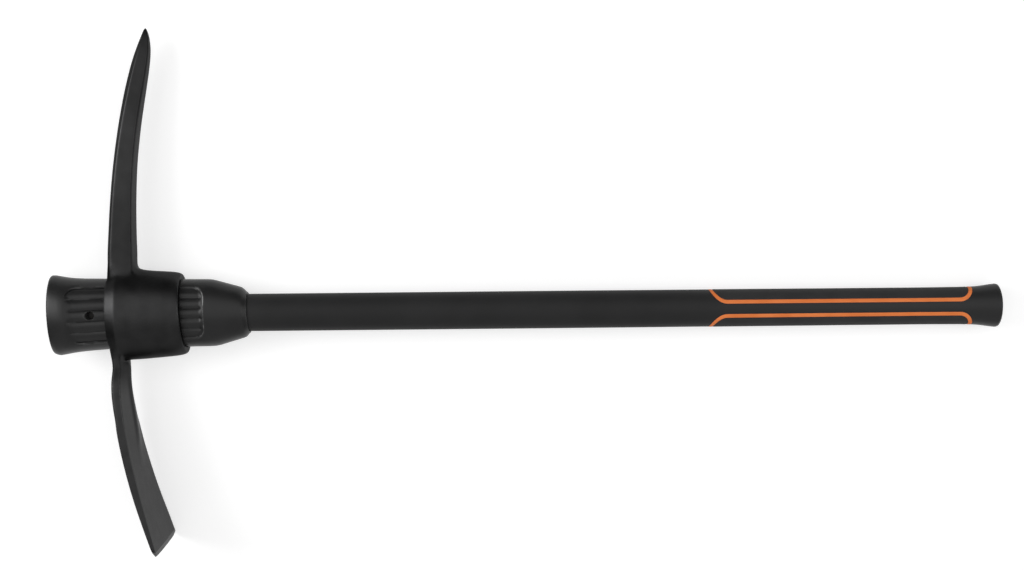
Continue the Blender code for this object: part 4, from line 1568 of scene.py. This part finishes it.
@dataclass
class Shaft:
    """Cased shaft with a flared butt, and the grip that is let into it."""

    profile: Profile = (
        (0.0643, 0.0176, 0.0148),
        (0.0880, 0.0176, 0.0148),
        (0.0980, 0.0179, 0.0150),
        (0.4600, 0.0179, 0.0150),
        (0.6000, 0.0177, 0.0148),
        (0.6900, 0.0176, 0.0147),
        (0.7600, 0.0177, 0.0148),
        (0.7800, 0.0180, 0.0152),
        (0.7900, 0.0187, 0.0162),
        (0.8035, 0.0205, 0.0184),
        (0.8062, 0.0207, 0.0187),
        (0.8076, 0.0203, 0.0183),
        (0.8084, 0.0191, 0.0172),
    )
    sides: int = 112
    core_half: tuple[float, float] = (0.0133, 0.0108)
    core_end: float = 0.7903
    end_rim: float = 0.93
    row_spans: Profile = ((0.070, 0.525, 0.009), (0.525, 0.786, 0.003), (0.786, 0.8062, 0.0015))
    row_least: float = 0.3 * MM
    butt_rows: int = 4
    wrap_radius: float = 0.0161
    line_half_angle: float = math.radians(67.5)
    nose_start: float = 0.5340
    nose_length: float = 0.0150
    tail_end: float = 0.7810
    tail_length: float = 0.0120
    nose_bluntness: float = 2.0
    tail_bluntness: float = 3.0
    arc_steps: int = 18
    straight_steps: int = 24
    across_steps: int = 14
    line_width: float = 3.4 * MM
    line_crown: float = 0.25 * MM
    line_steps: int = 8
    line_rise: float = 0.10 * MM
    line_roundness: float = 0.96
    grip_depth: float = 1.6 * MM
    panel_crown: float = 0.12 * MM
    panel_edge: Profile = (
        (0.0, 0.45 * MM), (-0.10 * MM, 0.16 * MM), (-0.35 * MM, 0.0), (-1.5 * MM, -0.04 * MM),
    )
    gap: float = 0.12 * MM
    grip_twist: float = math.radians(-2.5)
    butt_tone_from: tuple[float, float] = (0.4300, 0.7000)
    recess_overshoot: float = 2.0 * MM
    sharp_angle: float = 40.0
    grip_sharp_angle: float = 50.0
    worn_angle: float = 60.0

    def section(self, x: float) -> tuple[float, float]:
        """Size of the shaft, straight in the sleeve and smooth past it.

        Args:
            x: place along the handle.

        Returns:
            Its half height and half depth.
        """
        shown = self.profile[2:]
        height, depth = through(shown, x) if x > shown[0][0] else between(self.profile, x)
        return float(height), float(depth)

    def on_shaft(self, x: float, distance: float, depth: float) -> Vector:
        """Point on the shaft's skin, or below it.

        Args:
            x: place along the handle.
            distance: how far round from +Y.
            depth: how far below the skin.

        Returns:
            The point.
        """
        half_height, half_depth = self.section(x)
        angle = distance / self.wrap_radius
        return Vector((x, (half_height - depth) * math.cos(angle), (half_depth - depth) * math.sin(angle)))

    def arc(self, tip: float, length: float, bluntness: float) -> list[tuple[float, float]]:
        """Half of a panel's rounded end.

        Args:
            tip: place of its tip.
            length: how far back from the tip it reaches its full width, as a signed distance.
            bluntness: 2 for an oval end; more for a squarer one.

        Returns:
            Points as (place, distance round), from the tip to the full width.
        """
        reach = self.wrap_radius * self.line_half_angle
        points = []
        for i in range(self.arc_steps + 1):
            around = math.sin(math.pi / 2 * i / self.arc_steps)
            along = math.sqrt(max(0.0, 1 - around ** bluntness))
            points.append((tip + length * (1 - along), reach * around))
        return points

    def outline(self, offset: float) -> list[tuple[float, float]]:
        """Half of the line round a grip panel, moved outward by offset.

        Args:
            offset: distance outward from the middle of the coloured line.

        Returns:
            Points as (place, distance round), from the nose to the tail.
        """
        nose = self.arc(self.nose_start, self.nose_length, self.nose_bluntness)
        tail = self.arc(self.tail_end, -self.tail_length, self.tail_bluntness)[::-1]
        (start, reach), (end, _) = nose[-1], tail[0]
        shares = (i / self.straight_steps for i in range(1, self.straight_steps))
        points = [*nose, *((start + (end - start) * share, reach) for share in shares), *tail]
        moved = []
        for i, (x, s) in enumerate(points):
            before = points[i - 1] if i else (points[1][0], -points[1][1])
            after = points[i + 1] if i < len(points) - 1 else (points[-2][0], -points[-2][1])
            along = Vector((after[0] - before[0], after[1] - before[1]))
            along.normalize()
            moved.append((x - along.y * offset, s + along.x * offset))
        return moved

    def loop(self, offset: float, depth: float) -> list[Vector]:
        """Whole closed line round a panel.

        Args:
            offset: distance outward from the middle of the coloured line.
            depth: how far below the skin.

        Returns:
            The line's points.
        """
        half = self.outline(offset)
        whole = half + [(x, -s) for x, s in reversed(half[1:-1])]
        return [self.on_shaft(x, s, depth) for x, s in whole]

    def fill(
        self, bm: bmesh.types.BMesh, ring: Sequence, offset: float, depth: float, crown: float = 0.0
    ) -> None:
        """Close a panel's loop with a grid that follows the shaft.

        Args:
            bm: the mesh to add to.
            ring: the loop's vertices.
            offset: the loop's offset from the coloured line.
            depth: the loop's depth below the skin.
            crown: how far the middle of the panel rises above the loop.
        """
        half = self.outline(offset)
        last = len(half) - 1
        across = self.across_steps
        columns = []
        for i in range(1, last):
            x, reach = half[i]
            column = [ring[i]]
            for k in range(1, across):
                share = 1 - 2 * k / across
                rise = crown * (1 - share ** 4)
                column.append(bm.verts.new(self.on_shaft(x, reach * share, depth - rise)))
            column.append(ring[(2 * last - i) % len(ring)])
            columns.append(column)
        for first, second in zip(columns, columns[1:]):
            for k in range(across):
                bm.faces.new((first[k], first[k + 1], second[k + 1], second[k]))
        for end, column in ((ring[0], columns[0]), (ring[last], columns[-1])):
            for k in range(across):
                bm.faces.new((end, column[k], column[k + 1]))

    def panel(self, which: Panel) -> bpy.types.Object:
        """Soft panel inside the coloured line, with a rounded edge and a slight crown.

        Args:
            which: the panel.

        Returns:
            Its closed mesh.
        """
        edge = -self.line_width / 2 - self.gap
        steps = [(edge, self.grip_depth), *((edge + inward, depth) for inward, depth in self.panel_edge)]
        bm = bmesh.new()
        rings = loft(bm, [self.loop(offset, depth) for offset, depth in steps], capped=False)
        self.fill(bm, rings[-1], *steps[-1], self.panel_crown)
        self.fill(bm, rings[0], *steps[0])
        return self.finished("grip_panel", bm, which)

    def line(self, which: Panel) -> bpy.types.Object:
        """Closed coloured line with a rounded back, swept round the panel.

        Args:
            which: the panel that it runs round.

        Returns:
            Its closed mesh.
        """
        half = self.line_width / 2
        shares = [2 * i / self.line_steps - 1 for i in range(self.line_steps + 1)]
        section = [(-half, self.grip_depth)]
        for share in shares:
            crown = self.line_crown * math.sqrt(1 - self.line_roundness * share ** 2)
            section.append((half * share, self.line_rise - crown))
        section.append((half, self.grip_depth))
        bm = bmesh.new()
        rings = loft(bm, [self.loop(offset, depth) for offset, depth in section], capped=False)
        bridge(bm, rings[-1], rings[0])
        return self.finished("orange_line", bm, which)

    def turned(self, name: str, bm: bmesh.types.BMesh, which: Panel) -> bpy.types.Object:
        """Turn a mesh to its own side of the shaft.

        Args:
            name: the object's name, to which the side is added.
            bm: the mesh, made for the upper side.
            which: the panel that it belongs to.

        Returns:
            The object.
        """
        turn = Matrix.Rotation(which.value + self.grip_twist, 4, "X")
        bmesh.ops.transform(bm, matrix=turn, verts=bm.verts)
        return bmesh_object(f"{name}_{which.name.lower()}", bm)

    def finished(self, name: str, bm: bmesh.types.BMesh, which: Panel) -> bpy.types.Object:
        """Turn a grip piece to its own side, shade it and mark its edges.

        Args:
            name: the object's name, to which the side is added.
            bm: the piece's mesh, made for the upper side.
            which: the panel that it belongs to.

        Returns:
            The object.
        """
        obj = self.turned(name, bm, which)
        shade(obj, self.grip_sharp_angle)
        mark_edges(obj, self.worn_angle)
        return obj

    def recess_cutter(self, which: Panel) -> bpy.types.Object:
        """Recess that a panel and its line sit in.

        Args:
            which: the panel.

        Returns:
            The solid to cut out of the casing.
        """
        offset = self.line_width / 2 + self.gap
        depths = (self.grip_depth + self.gap, -self.recess_overshoot)
        bm = bmesh.new()
        rings = loft(bm, [self.loop(offset, depth) for depth in depths], capped=False)
        for ring, depth in zip(rings, depths):
            self.fill(bm, ring, offset, depth)
        return self.turned("recess", bm, which)

    def handled(self, vertex: bpy.types.MeshVertex) -> float:
        """How far the casing is made lighter and smoother at a vertex, more towards the butt."""
        start, full = self.butt_tone_from
        return smooth_step((vertex.co.x - start) / (full - start))

    def casing(self) -> bpy.types.Object:
        """Casing from inside the sleeve to the flared butt.

        Returns:
            Its closed mesh, hollow for the core and recessed for the grip.
        """
        start, end = self.profile[0][0], self.profile[-1][0]
        places = [start, *(row[0] for row in self.profile[-self.butt_rows:])]
        for span in self.row_spans:
            places += [*np.arange(*span)]
        rings = [oval(x, *self.section(x), self.sides) for x in spaced(places, self.row_least)]
        rings.append([Vector((end, p.y * self.end_rim, p.z * self.end_rim)) for p in rings[-1]])
        bm = bmesh.new()
        made = loft(bm, rings, capped=False)
        bm.faces.new(made[-1])
        bore_rings = [oval(x, *self.core_half, self.sides) for x in (start, self.core_end)]
        bore = loft(bm, bore_rings, capped=False)
        bridge(bm, made[0], bore[0])
        bm.faces.new(bore[1])
        casing = bmesh_object("cased_shaft", bm)
        carve(casing, [self.recess_cutter(which) for which in Panel])
        shade(casing, self.sharp_angle)
        mark_edges(casing, self.worn_angle)
        mark_points(casing, "handled", self.handled)
        return casing

    def dress(self, effects: Effects) -> list[Piece]:
        """Build the shaft's pieces and give them their plastic and rubber.

        Args:
            effects: the shared node groups.

        Returns:
            The casing, and then each panel with its line.
        """
        rubber, orange = (finish.make(effects) for finish in (RUBBER, ORANGE))
        pieces = [Piece(self.casing(), Body.HANDLE, "shaft_jacket", "shaft_casing", CASING.make(effects))]
        for which in Panel:
            pad, inlay = (f"grip_{part}_{which.name.lower()}" for part in ("pad", "inlay"))
            pieces.append(Piece(self.panel(which), Body.HANDLE, pad, "grip_rubber", rubber))
            pieces.append(Piece(self.line(which), Body.HANDLE, inlay, "orange_elastomer", orange))
        return pieces


@dataclass
class CoreRod:
    """Rod inside the handle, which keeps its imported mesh."""

    node: str = "core_rod"

    def dress(self) -> None:
        """Give the rod its fibre finish."""
        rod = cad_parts[self.node]
        rod.data.materials.clear()
        rod.data.materials.append(FibreFinish().make())
        LOG.info("%s keeps its packed mesh", self.node)


@dataclass(frozen=True)
class Softbox:
    """Rectangular area light, aimed at a point."""

    name: str
    place: tuple[float, float, float]
    aim: tuple[float, float, float]
    size: tuple[float, float]
    power: float

    def build(self) -> None:
        """Add the light to the scene."""
        data = bpy.data.lights.new(self.name, "AREA")
        data.shape = "RECTANGLE"
        data.size, data.size_y = self.size
        data.energy = self.power
        lamp = bpy.data.objects.new(self.name, data)
        bpy.context.scene.collection.objects.link(lamp)
        lamp.location = self.place
        toward = Vector(self.aim) - Vector(self.place)
        lamp.rotation_mode = "QUATERNION"
        lamp.rotation_quaternion = toward.to_track_quat("-Z", "Y")


@dataclass
class Studio:
    """Camera, lights, pale floor and plain grey surroundings."""

    camera_distance: float = 1.3587
    camera_scale: float = 1048.0
    image_width: float = 1024.0
    sensor: float = 36.0
    roll: float = math.radians(5.77)
    yaw: float = math.radians(0.15)
    spin: float = math.radians(0.56)
    camera_over: tuple[float, float] = (0.43688, 0.02805)
    sleeve_end_to_eye: float = 0.092
    clip: tuple[float, float] = (0.01, 50.0)
    floor_half: float = 20.0
    floor_colour: Colour = grey(0.55)
    glow: float = 0.60
    surround: Colour = grey(0.09)
    softboxes: tuple[Softbox, ...] = (
        Softbox("overhead", (0.0, 0.62, 2.32), (0.0, 0.0, 0.0), (5.4, 2.34), 43.0),
        Softbox("front", (0.0, -1.83, 1.43), (0.0, 0.0, 0.0), (4.2, 3.3), 21.0),
        Softbox("left", (-1.86, 0.50, 1.20), (-0.36, -0.02, 0.03), (1.0, 0.85), 18.0),
        Softbox("right", (1.75, 0.20, 1.35), (-0.20, 0.0, 0.03), (1.0, 0.9), 7.0),
    )

    def add_camera(self, place: Matrix) -> None:
        """Put the camera where the photograph was taken from.

        Args:
            place: matrix from the tool's frame to the world.
        """
        data = bpy.data.cameras.new("photo_camera")
        data.sensor_width = self.sensor
        data.lens = self.sensor * self.camera_scale * self.camera_distance / self.image_width
        data.clip_start, data.clip_end = self.clip
        turn = Matrix.Rotation(self.spin, 4, "Z")
        turn = turn @ Matrix.Rotation(self.yaw, 4, "Y") @ Matrix.Rotation(self.roll, 4, "X")
        from_end = turn.inverted() @ Vector((*self.camera_over, self.camera_distance))
        spot = Matrix.Translation(from_end - Vector((self.sleeve_end_to_eye, 0, 0)))
        camera = bpy.data.objects.new("photo_camera", data)
        bpy.context.scene.collection.objects.link(camera)
        camera.matrix_world = place @ spot @ turn.inverted()
        bpy.context.scene.camera = camera

    def add_floor(self) -> None:
        """Pale floor that keeps the tool's shadow and looks white to the camera."""
        bm = bmesh.new()
        far = self.floor_half
        corners = ((-far, -far, 0), (far, -far, 0), (far, far, 0), (-far, far, 0))
        bm.faces.new([bm.verts.new(corner) for corner in corners])
        floor = bmesh_object("floor", bm)
        material = bpy.data.materials.new("pale_floor")
        material.use_nodes = True
        graph = Graph(material.node_tree)
        material.node_tree.nodes.remove(material.node_tree.nodes["Principled BSDF"])
        matt = graph.add("ShaderNodeBsdfDiffuse", {"Color": (*self.floor_colour, 1.0)})
        glow = graph.add("ShaderNodeEmission", {"Color": (1.0, 1.0, 1.0, 1.0), "Strength": self.glow})
        both = graph.add("ShaderNodeAddShader", {0: matt.outputs[0], 1: glow.outputs[0]})
        choice = {0: self.seen_ray(graph), 1: matt.outputs[0], 2: both.outputs[0]}
        shown = graph.add("ShaderNodeMixShader", choice)
        graph.link(shown.outputs[0], material.node_tree.nodes["Material Output"].inputs["Surface"])
        floor.data.materials.append(material)

    @staticmethod
    def seen_ray(graph: Graph) -> bpy.types.NodeSocket:
        """Pick out the rays that show the floor: to the camera, and in gloss and glass.

        Args:
            graph: the floor material's graph.

        Returns:
            1 for such a ray, and 0 for one that only lights something.
        """
        path = graph.add("ShaderNodeLightPath").outputs
        shiny = graph.math("MAXIMUM", path["Is Glossy Ray"], path["Is Transmission Ray"])
        return graph.math("MAXIMUM", path["Is Camera Ray"], shiny)

    def add_surroundings(self) -> None:
        """Plain grey studio walls and ceiling, as an even world."""
        world = bpy.data.worlds.new("studio")
        bpy.context.scene.world = world
        world.use_nodes = True
        world.node_tree.nodes["Background"].inputs["Color"].default_value = (*self.surround, 1.0)

    def build(self, place: Matrix) -> None:
        """Build the whole studio round the tool.

        Args:
            place: matrix from the tool's frame to the world.
        """
        self.add_camera(place)
        self.add_floor()
        self.add_surroundings()
        for softbox in self.softboxes:
            softbox.build()
        bpy.context.scene.view_settings.view_transform = "Standard"


def main() -> None:
    """Build the studio, then the head, the sleeve, the shaft with its grip, and the core rod's finish."""
    logging.basicConfig(level=logging.INFO, format="%(name)s: %(message)s")
    place = ToolFrame().matrix()
    Studio().build(place)
    effects = Effects.make()
    for assembly in (ForgedHead(), HeadSleeve(), Shaft()):
        for piece in assembly.dress(effects):
            piece.fit(place)
    CoreRod().dress()


if __name__ == "__main__":
    main()
